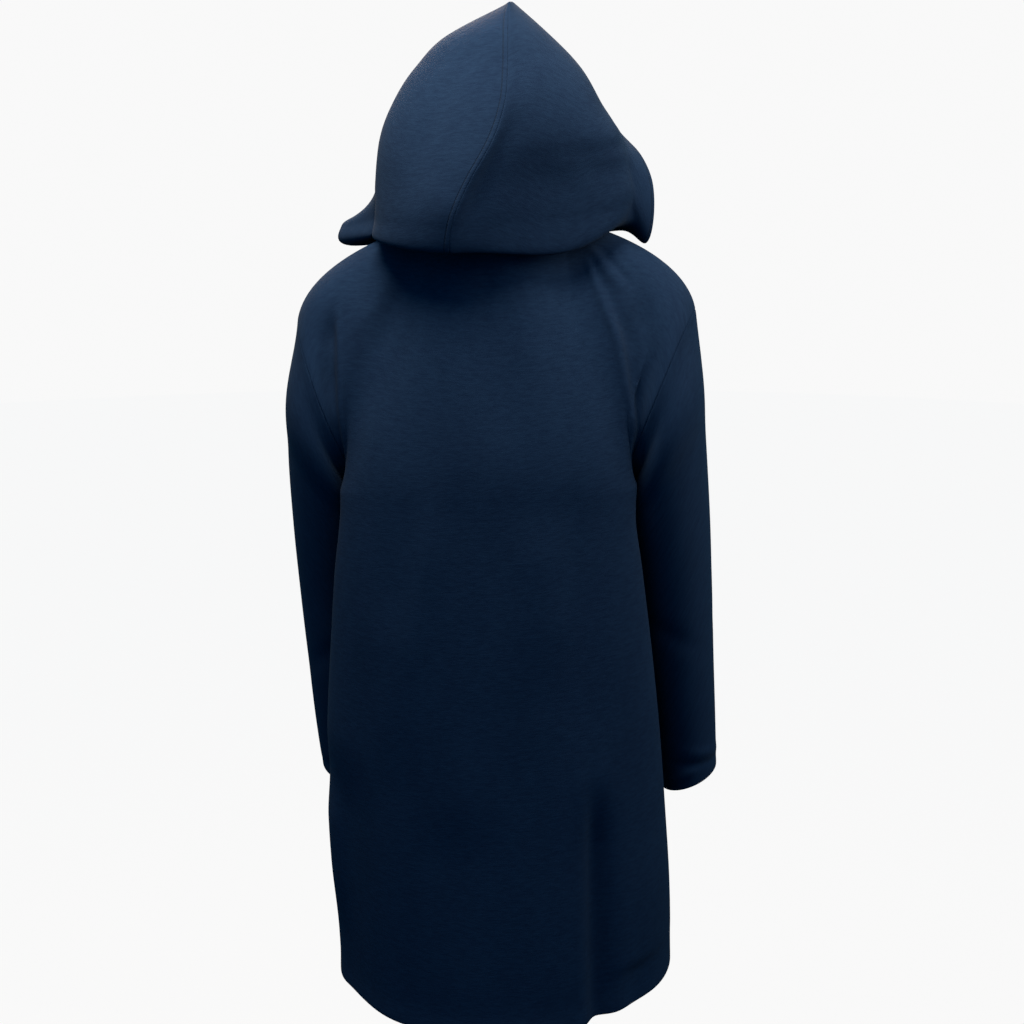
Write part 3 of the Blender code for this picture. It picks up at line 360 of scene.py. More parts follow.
# Rows of the hood above the neck seam: its share of the way up, the centre seam, then each half's side and
# face edge, how steeply the half falls away forwards from the seam, and how far it sags between the seam and
# the side. The seam's foot lies to the wearer's left of the tip, so the halves differ.
HOOD_SEAM = table(
    "up    x       y      z",
    (0.06,  0.006, 0.068, 0.060),
    (0.12,  0.022, 0.096, 0.060),
    (0.19,  0.036, 0.125, 0.034),
    (0.28,  0.032, 0.136, 0.068),
    (0.40,  0.012, 0.131, 0.116),
    (0.52, -0.010, 0.120, 0.155),
    (0.65, -0.024, 0.102, 0.199),
    (0.78, -0.025, 0.076, 0.243),
    (0.90, -0.022, 0.045, 0.286),
    (1.00, -0.019, 0.008, 0.3155),
)
HOOD_LEFT = table(
    "up    side_x  side_y side_z  edge_x  edge_y  edge_z  fold  sag",
    (0.06,  0.088, -0.006, 0.078, 0.050, -0.099, 0.012, 0.10, 0.0),
    (0.12,  0.110, 0.014,  0.070, 0.120, -0.098, 0.030, 0.15, 0.0),
    (0.19,  0.140, 0.030,  0.048, 0.194, -0.066, 0.033, 0.20, 0.0),
    (0.28,  0.142, 0.022,  0.070, 0.203, -0.070, 0.056, 0.25, 0.0),
    (0.40,  0.141, 0.018,  0.112, 0.166, -0.080, 0.076, 0.25, 0.0),
    (0.46,  0.139, 0.018,  0.136, 0.142, -0.092, 0.094, 0.25, 0.0),
    (0.52,  0.136, 0.016,  0.160, 0.130, -0.106, 0.156, 0.25, 0.0),
    (0.65,  0.121, 0.008,  0.203, 0.112, -0.114, 0.203, 0.30, 0.0),
    (0.78,  0.095, -0.008, 0.245, 0.082, -0.118, 0.246, 0.40, 0.0),
    (0.90,  0.055, -0.028, 0.283, 0.040, -0.118, 0.278, 0.45, 0.0),
    (1.00, -0.019, -0.050, 0.3155, -0.016, -0.116, 0.292, 0.45, 0.0),
)
HOOD_RIGHT = table(
    "up    side_x  side_y side_z  edge_x  edge_y  edge_z  fold  sag",
    (0.06, -0.088, -0.006, 0.078, -0.050, -0.099, 0.012, 0.10, 0.0),
    (0.12, -0.113, 0.004,  0.074, -0.096, -0.104, 0.030, 0.30, 0.006),
    (0.19, -0.145, 0.012,  0.050, -0.152, -0.064, 0.042, 0.90, 0.015),
    (0.28, -0.166, -0.006, 0.078, -0.185, -0.024, 0.028, 1.20, 0.006),
    (0.40, -0.162, -0.012, 0.118, -0.190, -0.036, 0.102, 1.20, 0.0),
    (0.46, -0.157, -0.006, 0.137, -0.175, -0.058, 0.132, 1.15, 0.0),
    (0.52, -0.150, 0.002,  0.155, -0.151, -0.086, 0.156, 1.05, 0.0),
    (0.65, -0.125, 0.006,  0.197, -0.112, -0.114, 0.198, 0.85, 0.0),
    (0.78, -0.099, -0.008, 0.240, -0.086, -0.118, 0.241, 0.55, 0.0),
    (0.90, -0.062, -0.028, 0.279, -0.052, -0.118, 0.272, 0.45, 0.0),
    (1.00, -0.019, -0.050, 0.3155, -0.016, -0.116, 0.292, 0.45, 0.0),
)

# How a row of the hood bends: the pull of its curve at each place, as shares of the ways between places
HOOD_LEAVE = (1.55, 0.4)    # pull of a row's curve as it leaves the seam, sideways and in height
HOOD_PASS = np.array((0.12, 1.35, 0.5))   # pull as it passes the side: sideways, forwards and in height
HOOD_ARRIVE = 1.2           # pull as it comes to the face edge
HOOD_LEAST_RUN = 0.02       # least run from seam to side that the pull past the side is scaled by

# Layers of the felt: fineness, stretch across and up, detail, and each one's part in the tone and the height
FELT_LAYERS = table(
    "scale  across up   detail tone  height",
    (560.0, 0.25,  1.0, 3.0,   0.38, 0.6),     # fibres
    (210.0, 0.30,  1.0, 3.0,   0.42, 0.4),     # clumps of them
    (15.0,  1.00,  0.5, 2.0,   0.20, 0.0),     # brushed areas
)


def smooth(t):
    """0 to 1 with level ends, for t from 0 to 1."""
    t = np.clip(t, 0.0, 1.0)
    return t * t * (3.0 - 2.0 * t)


def hermite(start, end, start_slope, end_slope, t):
    """The cubic from start to end with those slopes, at t from 0 to 1; t may be an array."""
    t = np.asarray(t, float)[..., None]
    t2, t3 = t * t, t * t * t
    return ((2 * t3 - 3 * t2 + 1) * start + (t3 - 2 * t2 + t) * start_slope
            + (3 * t2 - 2 * t3) * end + (t3 - t2) * end_slope)


def spline(keys, values, at):
    """A smooth curve through values, one for each key, read at any places; values may be points or rows."""
    keys = np.asarray(keys, float)
    values = np.asarray(values, float)
    flat = values.reshape(len(keys), -1)
    slopes = np.gradient(flat, keys, axis=0, edge_order=2 if len(keys) > 2 else 1)
    at = np.asarray(at, float)
    place = np.clip(at.ravel(), keys[0], keys[-1])
    i = np.clip(np.searchsorted(keys, place, side="right") - 1, 0, len(keys) - 2)
    width = keys[i + 1] - keys[i]
    found = hermite(flat[i], flat[i + 1], slopes[i] * width[:, None], slopes[i + 1] * width[:, None],
                    (place - keys[i]) / width)
    return found.reshape(at.shape + values.shape[1:])


def column(rows, name, at, key="z"):
    """One named column of a table, read smoothly at any places of its key column."""
    return spline(rows[key], rows[name], at)


def columns(rows, names, at, key):
    """Several named columns of a table together, as points."""
    return spline(rows[key], np.stack([rows[name] for name in names.split()], -1), at)


def mirrored(points, side):
    """The points, or for side -1 their mirror image in the middle plane."""
    return points * np.array((side, 1.0, 1.0))


def unit(vectors):
    """The vectors at length 1."""
    return vectors / np.linalg.norm(vectors, axis=-1, keepdims=True)


def distances(points, axis):
    """How far along its line each point of a grid is; the lines run along that axis."""
    steps = np.linalg.norm(np.diff(points, axis=axis), axis=-1)
    start = np.zeros_like(np.take(steps, [0], axis=axis))
    return np.concatenate([start, np.cumsum(steps, axis=axis)], axis=axis)


def along_line(wanted, runs, points):
    """Points of a line at the wanted runs, straight between its own points, which are at runs."""
    return np.stack([np.interp(wanted, runs, points[:, axis]) for axis in range(3)], -1)


def circle(first, second, count):
    """Angles all the way round, and the unit circle's points there, in the plane of two unit directions."""
    turn = np.linspace(0, 2 * math.pi, count, endpoint=False)
    return turn, first[..., None, :] * np.cos(turn)[:, None] + second[..., None, :] * np.sin(turn)[:, None]


# ---- the body's surface -------------------------------------------------------------------------------


def body_section(z, angle):
    """Points of the level section at z. angle runs from the centre back, + to the wearer's left, to pi at
    the centre front. A back and a front half ellipse share the widest line, and a soft bell-shaped hollow
    where the arm hangs is taken off the sides."""
    half_width = column(SECTIONS, "half_width", z)
    widest = column(SECTIONS, "widest_y", z)
    back = column(SECTIONS, "back_y", z)
    front = column(SECTIONS, "front_y", z)
    across, along = np.sin(angle), np.cos(angle)
    y = widest + np.where(along > 0, (back - widest) * along, (widest - front) * along)
    dent = np.where(angle > 0, column(SECTIONS, "dent_left", z), column(SECTIONS, "dent_right", z))
    bell = np.exp(-((y - column(SECTIONS, "dent_y", z)) / DENT_REACH) ** 2)
    x = half_width * across - dent * bell * across ** 3 + column(SECTIONS, "drift", z)
    return np.stack(np.broadcast_arrays(x, y, z), -1)


def skirt(angle, up):
    """The body below the underarm: its level sections from the hem, up 0, which dips as the square of a
    cosine round the body, to chest height, up 1."""
    hem = HEM_SIDE_Z - HEM_DIP * np.cos(angle) ** 2
    return body_section(hem + (CHEST_Z - hem) * up, angle)


def top_edge(share, neck_share, neck_ends, neck_slopes):
    """The neck curve and then the shoulder seam; share is signed, + to the wearer's left."""
    part = np.abs(share)
    neck = hermite(neck_ends[0], neck_ends[1], neck_slopes[0], neck_slopes[1],
                   np.clip(part / neck_share, 0, 1))
    shoulder = hermite(NECK_POINT, SHOULDER_TIP, SHOULDER_SLOPES[0], SHOULDER_SLOPES[1],
                       (part - neck_share) / (1.0 - neck_share))
    edge = np.where((part < neck_share)[..., None], neck, shoulder)
    return edge * facing(share)


def eased_edge(share, *neck):
    """The top edge with its corner at the neck point rounded: the mean of the edge over a short stretch,
    weighted as a cosine, which shrinks to nothing towards the shoulder tip."""
    reach = CORNER_EASE * (1.0 - smooth((np.abs(share) - 1.0 + EASE_FADE) / EASE_FADE))
    offsets = np.linspace(-1.0, 1.0, EASE_SAMPLES)
    weights = np.cos(offsets * EASE_ANGLE)
    return sum(weight * top_edge(share + offset * reach, *neck)
               for weight, offset in zip(weights / weights.sum(), offsets))


def facing(share):
    """Turns a point of the wearer's left into one of the side that share is on."""
    side = np.where(share < 0, -1.0, 1.0)
    return np.stack([side, np.ones_like(side), np.ones_like(side)], -1)


def bodice(share, angle, up, rise, *neck):
    """The body above the underarm: each upright line is a cubic from the chest section to the neck curve or
    the shoulder seam, and the line at the armhole is the armhole itself. up runs from 0 to 1."""
    chest = np.full_like(angle, CHEST_Z)
    start = body_section(chest, angle)
    lean = (start - body_section(chest - LEAN_STEP, angle)) / LEAN_STEP
    part = np.abs(share)
    turn = columns(rise, "turn_x turn_y", part, "share")
    turn = np.concatenate([turn, np.zeros_like(turn[..., :1])], -1) * facing(share)
    start_slope = lean * column(rise, "rise", part, "share")[..., None] + turn
    end_slope = columns(rise, "end_x end_y end_z", part, "share") * facing(share)
    eased = eased_edge(share, *neck)
    return (hermite(start, eased, start_slope, end_slope, up)
            + (up ** EASE_POWER)[..., None] * (top_edge(share, *neck) - eased))


def panel(share, level, angle, neck_share, rise, neck_ends, neck_slopes):
    """A body panel: share is 0 at its centre line and 1 at its side; level is 0 at the hem, 1 at the
    underarm and 2 at the top."""
    lower = skirt(angle, np.clip(level, 0, 1))
    upper = bodice(share, angle, np.clip(level - 1.0, 0, 1), rise, neck_share, neck_ends, neck_slopes)
    return np.where((level <= 1.0)[..., None], lower, upper)


def back_surface(share, level):
    """The back; share runs from -1 at the wearer's right side to 1 at the left."""
    return panel(share, level, share * SIDE_ANGLE, BACK_NECK_SHARE, BACK_RISE,
                 (NECK_BACK, NECK_POINT), NECK_BACK_SLOPES)


def front_surface(share, level):
    """The fronts as one surface; share runs from -1 at the wearer's right side, over the centre, to 1."""
    angle = np.where(share < 0, -1.0, 1.0) * (math.pi - np.abs(share) * (math.pi - SIDE_ANGLE))
    return panel(share, level, angle, FRONT_NECK_SHARE, FRONT_RISE,
                 (NECK_FRONT, NECK_POINT), -NECK_FRONT_SLOPES[::-1])


def normals_of(grid, closed=False):
    """Unit normals of a grid of points: the mean of the squares round each, by their areas."""
    across = np.concatenate([grid, grid[:, :1]], axis=1) if closed else grid
    face = np.cross(across[1:, 1:] - across[:-1, :-1], across[1:, :-1] - across[:-1, 1:])
    if closed:
        face = np.concatenate([face[:, -1:], face], axis=1)
    else:
        face = np.pad(face, ((0, 0), (1, 1), (0, 0)))
    face = np.pad(face, ((1, 1), (0, 0), (0, 0)))
    return unit(face[:-1, :-1] + face[:-1, 1:] + face[1:, :-1] + face[1:, 1:])


def raised(grid, lift, closed=False):
    """The grid with each point moved out along its normal by its lift."""
    return grid + normals_of(grid, closed) * lift[..., None]


def fading(run, reach):
    """1 along a line, where run goes from 0 to 1, and 0 past its ends, with a soft step of half breadth
    reach at each end."""
    return smooth((run + reach) / (2 * reach)) * smooth((1.0 + reach - run) / (2 * reach))


def calm_edges(share, level, side_calm):
    """0 at a panel's side seams and its top edge, and 1 a little way in from them."""
    return smooth((1.0 - np.abs(share)) / side_calm) * smooth((2.0 - level) / TOP_CALM)


def folded(points, share, level, folds):
    """The panel with its creases: each is a bell across its own line, soft at its top end, that dies away
    before the side seams and the top, so that neighbours still meet."""
    x, z = points[..., 0], points[..., 2]
    lift = np.zeros_like(x)
    for top_x, top_z, low_x, low_z, breadth, height, low_share in zip(*folds.values()):
        run = (top_z - z) / (top_z - low_z)
        line = top_x + (low_x - top_x) * run
        wane = 1.0 - (1.0 - low_share) * smooth((run - 1.0 + FOLD_WANE) / FOLD_WANE)
        fade = smooth(run / FOLD_START) * wane * smooth((1.0 + FOLD_END - run) / FOLD_END)
        lift += height * fade * np.exp(-((x - line) / breadth) ** 2)
    return raised(points, lift * calm_edges(share, level, FOLD_CALM))


def lap_inwards(points, side):
    """Sets the under front behind the upper one, by a soft step a little outside the upper one's edge."""
    if side > 0:
        return points
    return raised(points, -LAP_DEPTH * smooth((points[..., 0] + LAP_SET_START * LAP) / (LAP_SET_RUN * LAP)))


def sleeve_ring(side, down, turn):
    """Points of the sleeve's rings: an ellipse, tipped about the front-to-back line."""
    centre = columns(SLEEVE_RINGS, "x y z", down, "down")
    breadth = column(SLEEVE_RINGS, "half_breadth", down, "down")
    depth = column(SLEEVE_RINGS, "half_depth", down, "down")
    tip = np.radians(column(SLEEVE_RINGS, "tip", down, "down"))
    across = -np.cos(turn) * breadth
    drop = np.clip(CHEST_Z - centre[..., 2], 0, None)
    ahead = ARM_FORWARD * drop * (side > 0)
    return mirrored(np.stack([centre[..., 0] - side * ARM_SWING * drop + across * np.cos(tip),
                              centre[..., 1] - ahead + depth * np.sin(turn),
                              centre[..., 2] + across * np.sin(tip)], -1), side)


def hood_row(rows, up, share):
    """A row of the hood from the centre seam round the side to the face edge: two cubics that meet at the
    side, where they run straight forward, less a sag that rises and falls as the square of a sine."""
    start = columns(HOOD_SEAM, "x y z", up, "up")
    middle = columns(rows, "side_x side_y side_z", up, "up")
    end = columns(rows, "edge_x edge_y edge_z", up, "up")
    out = middle - start
    fold = column(rows, "fold", up, "up")
    start_slope = np.stack([HOOD_LEAVE[0] * out[..., 0], fold * out[..., 1],
                            HOOD_LEAVE[1] * out[..., 2]], -1)
    side_slope = HOOD_PASS * np.stack([out[..., 0], out[..., 1], (end - start)[..., 2]], -1)
    ahead = end - middle
    back_part = hermite(start, middle, start_slope, side_slope, np.clip(2 * share, 0, 1))
    scale = (np.abs(ahead[..., 1]) / np.maximum(np.abs(out[..., 1]), HOOD_LEAST_RUN))[..., None]
    front_part = hermite(middle, end, side_slope * scale, HOOD_ARRIVE * ahead, np.clip(2 * share - 1, 0, 1))
    row = np.where((share < 0.5)[..., None], back_part, front_part)
    row[..., 2] -= column(rows, "sag", up, "up") * np.sin(np.pi * np.clip(2 * share, 0, 1)) ** 2
    return row


def hang(points):
    """The lean of the whole coat towards the wearer's left: each point drops by its place across times the
    tilt."""
    return points - np.stack([np.zeros(points.shape[:-1])] * 2 + [TILT * points[..., 0]], -1)


# ---- grids of the cloth pieces --------------------------------------------------------------------------


def stations(length, step):
    """Places from 0 to 1 along a length: even steps, and closer ones by both ends, where the edge is
    rounded."""
    near = np.array(EDGE_PLACES) / length
    inner = np.linspace(near[-1], 1.0 - near[-1], max(int(round(length / step)), LEAST_STEPS))
    return np.unique(np.round(np.concatenate([near[:-1], inner, 1.0 - near[:-1]]), PLACE_DIGITS))


def panel_levels(step):
    """Levels from the hem, 0, to the underarm, 1, and to the top, 2."""
    run = stations(SKIRT_LENGTH + ARMHOLE_LENGTH, step) * (SKIRT_LENGTH + ARMHOLE_LENGTH)
    return np.where(run < SKIRT_LENGTH, run / SKIRT_LENGTH, 1.0 + (run - SKIRT_LENGTH) / ARMHOLE_LENGTH)


def back_cloth(step):
    """The back on a fine grid, and each column's share: from the left side seam, 1, to the right one, -1."""
    shares = 1.0 - 2.0 * stations(BACK_WIDTH, step)
    share, level = np.meshgrid(shares, panel_levels(step))
    points = folded(back_surface(share, level), share, level, BACK_FOLDS)
    points = folded(points, share, level, BACK_CREASES)
    return hang(rumpled(points, share, level, seed=1.0)), shares


def front_cloth(side, step):
    """One front on a fine grid, and each column's share: from its side seam to its free edge past the
    centre."""
    lap = math.asin(LAP / column(SECTIONS, "half_width", CHEST_Z)) / (math.pi - SIDE_ANGLE)
    shares = side * (1.0 - (1.0 + lap) * stations(FRONT_WIDTH, step))
    if side > 0:
        shares = shares[::-1]
    share, level = np.meshgrid(shares, panel_levels(step))
    points = folded(front_surface(share, level), share, level, FRONT_FOLDS)
    return hang(lap_inwards(rumpled(points, share, level, seed=2.0), side)), shares


def rumpled(points, share, level, seed):
    """The panel with the slight unevenness of heavy cloth: a few long waves that cross at different angles,
    none at its edges, and a hem that stands out a little, as a bell over its height."""
    x, z = points[..., 0], points[..., 2]
    lift = sum(height * np.sin((x * across + z * up) * 2 * math.pi + phase * seed)
               for height, across, up, phase in zip(*RUMPLES.values()))
    flare = HEM_FLARE * np.exp(-(level * SKIRT_LENGTH / HEM_FLARE_REACH) ** 2)
    flare *= smooth((1.0 - np.abs(share)) / HEM_FLARE_CALM)
    return raised(points, lift * calm_edges(share, level, RUMPLE_CALM) + flare)


def armhole_line(side, turn):
    """The armhole, from the underarm up the back to the shoulder tip and down the front again."""
    up = np.where(turn < math.pi, turn / math.pi, 2.0 - turn / math.pi)
    share = np.full_like(turn, float(side))
    behind = back_surface(share, 1.0 + up)
    ahead = front_surface(share, 1.0 + up)
    return np.where((turn < math.pi)[..., None], behind, ahead)


def sleeve_cloth(side, step):
    """One sleeve as a closed tube: turns round the arm, and places from the armhole down to the cuff. Each
    line down it is a smooth curve through the armhole, a ring halfway and the sleeve's rings."""
    turn = np.linspace(0, 2 * math.pi, int(SLEEVE_ROUND / step) // 2 * 2, endpoint=False)
    loop = armhole_line(side, turn)
    keys = SLEEVE_RINGS["down"]
    turns, downs = np.meshgrid(turn, keys)
    low = (1.0 + np.cos(turn)[:, None]) / 2
    head = loop + mirrored(low * UNDERARM_SETOFF + (1.0 - low) * TIP_SETOFF, side)
    rings = np.concatenate([loop[None], head[None], sleeve_ring(side, downs, turns)])
    down = stations(SLEEVE_LENGTH, step) * keys[-1]
    grid = spline(np.concatenate([[0.0, keys[0] / 2], keys]), rings, down)
    turns, downs = np.meshgrid(turn, down)
    if side < 0:
        grid, turns, downs = grid[:, ::-1], turns[:, ::-1], downs[:, ::-1]
    return hang(sleeve_creased(grid, side, turns, downs))


def sleeve_creased(grid, side, turn, down):
    """The sleeve with its creases, each a bell across a line that slants round the arm and fades at its
    ends."""
    lift = np.zeros_like(down)
    for of_side, place, centre, slant, breadth, reach, height in zip(*SLEEVE_CREASES.values()):
        if of_side == side:
            off = (turn - centre + math.pi) % (2 * math.pi) - math.pi
            lift += height * np.exp(-((down - place - slant * off) / breadth) ** 2 - (off / reach) ** 2)
    return raised(grid, lift * smooth(down / SLEEVE_CALM), closed=True)


def top_row(cloth, shares, wanted):
    """Points of a panel's top edge at the wanted shares."""
    order = np.argsort(shares)
    return along_line(wanted, shares[order], cloth[-1, order])


def neck_line(side, back, front, places):
    """The neck seam, from the centre back, place 0, past the neck point to the hood's front end, place 1."""
    behind = top_row(*back, side * BACK_NECK_SHARE * np.clip(places / HOOD_TURN, 0, 1))
    part = HOOD_END * np.clip((places - HOOD_TURN) / (1.0 - HOOD_TURN), 0, 1)
    ahead = top_row(*front, side * FRONT_NECK_SHARE * (1.0 - part))
    return np.where((places < HOOD_TURN)[:, None], behind, ahead)


def hood_cloth(side, neck, places, step):
    """One half of the hood: places run from the centre seam to the face edge, as shares of each row's
    length, and rows from the neck to the crown, as a smooth curve through the neck seam and the rows."""
    rows = HOOD_LEFT if side > 0 else HOOD_RIGHT
    share, up = np.meshgrid(np.linspace(0, 1, HOOD_ROW_POINTS), rows["up"])
    fine = hang(hood_row(rows, up, share))
    run = distances(fine, 1)
    keyed = np.array([along_line(places, row_run / row_run[-1], row) for row_run, row in zip(run, fine)])
    ups = stations(HOOD_UP, step)
    grid = spline(np.concatenate([[0.0], rows["up"]]), np.concatenate([neck[None], keyed]), ups)
    place, up = np.meshgrid(places, ups)
    if side > 0:
        grid, place, up = grid[:, ::-1], place[:, ::-1], up[:, ::-1]
    return hood_creased(grid, side, place, up)


def hood_creased(grid, side, place, up):
    """The hood with its creases, each a bell across a line between two places seen from behind, and flat
    where the hood faces away, and its tucks, each a bell across a line on the cloth."""
    lift = np.zeros_like(up)
    for of_side, start_x, start_z, end_x, end_z, breadth, height in zip(*HOOD_CREASES.values()):
        if of_side == side:
            x, z = grid[..., 0] - start_x, grid[..., 2] - start_z
            way = np.array((end_x - start_x, end_z - start_z))
            length = np.linalg.norm(way)
            run = (x * way[0] + z * way[1]) / length ** 2
            off = (x * way[1] - z * way[0]) / length
            lift += height * fading(run, HOOD_CREASE_FADE) * np.exp(-(off / breadth) ** 2)
    lift *= smooth(place / HOOD_SEAM_CALM) * smooth((HOOD_BACK_SHARE - place) / HOOD_BACK_CALM)
    lift *= smooth(up / HOOD_FOOT_CALM) * smooth((1.0 - up) / HOOD_CROWN_CALM)
    for of_side, low_place, low_up, high_place, high_up, breadth, height in zip(*HOOD_TUCKS.values()):
        if of_side == side:
            run = (up - low_up) / (high_up - low_up)
            off = place - low_place - (high_place - low_place) * run
            lift += height * fading(run, HOOD_TUCK_FADE) * np.exp(-(off / breadth) ** 2)
    return raised(grid, lift)


# ---- shells -------------------------------------------------------------------------------------------


def edge_distances(grid, closed):
    """How far along the cloth each point is from each of the grid's edges: low and high, and on an open
    sheet first and last too."""
    up, across = distances(grid, 0), distances(grid, 1)
    sides = {"low": up, "high": up[-1:] - up}
    if not closed:
        sides.update(first=across, last=across[:, -1:] - across)
    return sides


def shell(grid, thickness, closed=False):
    """A closed body of cloth about the grid. Its thickness follows a quarter circle down to a thin rim at
    each edge. Gives points, four-sided faces and each point's place in the grid."""
    normals = normals_of(grid, closed)
    near = np.minimum.reduce(list(edge_distances(grid, closed).values()))
    half = thickness / 2 * np.sqrt(1.0 - (1.0 - RIM_SHARE) * (1.0 - np.clip(near / EDGE_ROUND, 0, 1)) ** 2)
    rows, count = grid.shape[:2]
    outer = np.arange(rows * count).reshape(rows, count)
    inner = outer + rows * count
    points = np.concatenate([(grid + normals * half[..., None]).reshape(-1, 3),
                             (grid - normals * half[..., None]).reshape(-1, 3)])
    if closed:
        outer = np.concatenate([outer, outer[:, :1]], axis=1)
        inner = np.concatenate([inner, inner[:, :1]], axis=1)
    faces = [squares(outer), squares(inner)[:, ::-1],
             squares(np.stack([inner[0], outer[0]])), squares(np.stack([outer[-1], inner[-1]]))]
    if not closed:
        faces += [squares(np.stack([outer[:, 0], inner[:, 0]])),
                  squares(np.stack([inner[:, -1], outer[:, -1]]))]
    return points, faces, np.tile(np.arange(rows * count), 2)


def squares(index):
    """The faces of a grid of point numbers, each with its corners in turn."""
    return np.stack([index[:-1, :-1], index[:-1, 1:], index[1:, 1:], index[1:, :-1]], -1).reshape(-1, 4)


def mesh_object(name, points, faces, values):
    """A smooth-shaded object at the origin, from arrays of faces with as many corners as each array has
    columns. values are named numbers stored at its points."""
    sizes = np.concatenate([np.full(len(group), group.shape[1]) for group in faces])
    corners = np.concatenate([group.ravel() for group in faces])
    mesh = bpy.data.meshes.new(name)
    mesh.vertices.add(len(points))
    mesh.vertices.foreach_set("co", np.asarray(points, np.float32).ravel())
    mesh.loops.add(len(corners))
    mesh.loops.foreach_set("vertex_index", corners.astype(np.int32))
    mesh.polygons.add(len(sizes))
    mesh.polygons.foreach_set("loop_start", (np.cumsum(sizes) - sizes).astype(np.int32))
    mesh.update(calc_edges=True)
    for label, numbers in values.items():
        vector = numbers.ndim > 1
        field = mesh.attributes.new(label, "FLOAT_VECTOR" if vector else "FLOAT", "POINT")
        field.data.foreach_set("vector" if vector else "value", numbers.astype(np.float32).ravel())
    mesh.shade_smooth()
    made = bpy.data.objects.new(name, mesh)
    bpy.context.scene.collection.objects.link(made)
    return made


def cloth_object(name, grid, thickness, stitched=(), closed=False):
    """A cloth piece. Each point holds where it is on the flat cloth, and how far it is from the nearest edge
    with a row of stitches; stitched says which edges have one: low, high, first or last."""
    points, faces, origin = shell(grid, thickness, closed)
    sides = edge_distances(grid, closed)
    up, across = distances(grid, 0), distances(grid, 1)
    inset = np.full(grid.shape[:2], FAR)
    along = np.zeros(grid.shape[:2])
    for edge in stitched:
        nearer = sides[edge] < inset
        inset = np.where(nearer, sides[edge], inset)
        along = np.where(nearer, across if edge in ("low", "high") else up, along)
    flat = np.stack([across, up, np.zeros_like(up)], -1).reshape(-1, 3)[origin]
    return mesh_object(name, points, faces, {"flat": flat, "inset": inset.ravel()[origin],
                                             "along": along.ravel()[origin]})


# ---- fastenings ---------------------------------------------------------------------------------------


def on_front(grid, x, z, out):
    """Points over a front, moved out from the middle of its cloth; x and z are their places before the
    coat's lean. Each lies on the plane y = a + b x + c z that fits the grid's nearest points best."""
    places = np.stack(np.broadcast_arrays(x, z - TILT * x), -1).astype(float)
    wanted = places.reshape(-1, 2)
    flat = grid.reshape(-1, 3)
    flat = flat[(np.abs(flat[:, 0]) < FRONT_REACH) & (flat[:, 1] < 0)]
    off = ((wanted[:, None] - flat[None, :, [0, 2]]) ** 2).sum(-1)
    near = flat[np.argpartition(off, PLANE_POINTS, axis=1)[:, :PLANE_POINTS]]
    terms = np.concatenate([np.ones(near.shape[:2] + (1,)), near[..., [0, 2]] - wanted[:, None]], -1)
    fit = np.einsum("pij,pj->pi", np.linalg.pinv(terms), near[..., 1])
    normal = unit(np.stack([fit[:, 1], -np.ones(len(fit)), fit[:, 2]], -1))
    distance = np.broadcast_to(out, places.shape[:-1]).reshape(-1, 1)
    points = np.stack([wanted[:, 0], fit[:, 0], wanted[:, 1]], -1) + normal * distance
    return points.reshape(places.shape[:-1] + (3,))


def tab_grid(front, start_x, z, cord_ups, cord_side, cord_thick):
    """A rectangle of cloth on a front, raised as bells where the cords' ends run in under its edge at
    cord_side."""
    along = stations(TAB_WIDTH, TAB_STEP)
    x, up = np.meshgrid(start_x + TAB_WIDTH * along, TAB_HEIGHT * (stations(TAB_HEIGHT, TAB_STEP) - 0.5))
    inside = (x - start_x) if cord_side < 0 else start_x + TAB_WIDTH - x
    cover = sum(np.exp(-((up - cord_up) / cord_thick) ** 2) for cord_up in cord_ups)
    lift = (cord_thick + LAY_GAP) * np.clip(cover, 0, 1) * smooth((CORD_UNDER - inside) / CORD_UNDER)
    return on_front(front, x, z + up, CLOTH / 2 + LAY_GAP + TAB_THICKNESS / 2 + lift)


def loop_route(left, right, z):
    """The cord loop: straight out from under its tab on the left front, over that front's edge, in a half
    circle behind the toggle, and back."""
    straight = np.linspace(TAB_X_LEFT + CORD_UNDER / 2, LOOP_CENTRE_X, LOOP_RUN_POINTS, endpoint=False)
    turn = np.linspace(math.pi / 2, 3 * math.pi / 2, LOOP_BEND_POINTS)
    beside = np.full(LOOP_RUN_POINTS, LOOP_RADIUS)
    x = np.concatenate([straight, LOOP_CENTRE_X + LOOP_RADIUS * np.cos(turn), straight[::-1]])
    height = z + np.concatenate([beside, LOOP_RADIUS * np.sin(turn), -beside])
    over_left = on_front(left, x, height, CLOTH / 2 + LAY_GAP + LOOP_THICK / 2)
    over_right = on_front(right, x, height, CLOTH / 2 + 2 * LAY_GAP + STEM_THICK + LOOP_THICK / 2)
    step_down = smooth((x + LAP + LAP_STEP) / LAP_STEP)[:, None]
    return over_right + (over_left - over_right) * step_down


def stem_route(right, z):
    """The short cord: straight in from the toggle's waist through the loop, round a quarter circle, and
    along the right front to its tab."""
    low = CLOTH / 2 + LAY_GAP + STEM_THICK / 2
    high = TOGGLE_OUT - TOGGLE_WAIST + STEM_THICK / 2
    turn = np.linspace(0, math.pi / 2, STEM_BEND_POINTS)
    bend_x = TOGGLE_X - STEM_BEND * (1.0 - np.cos(turn))
    bend_out = low + STEM_BEND * (1.0 - np.sin(turn))
    run_x = np.linspace(bend_x[-1], TAB_X_RIGHT + TAB_WIDTH - CORD_UNDER / 2, STEM_RUN_POINTS)[1:]
    drop_out = np.linspace(high, low + STEM_BEND, STEM_DROP_POINTS, endpoint=False)
    x = np.concatenate([np.full(STEM_DROP_POINTS, TOGGLE_X), bend_x, run_x])
    return on_front(right, x, z, np.concatenate([drop_out, bend_out, np.full(len(run_x), low)]))


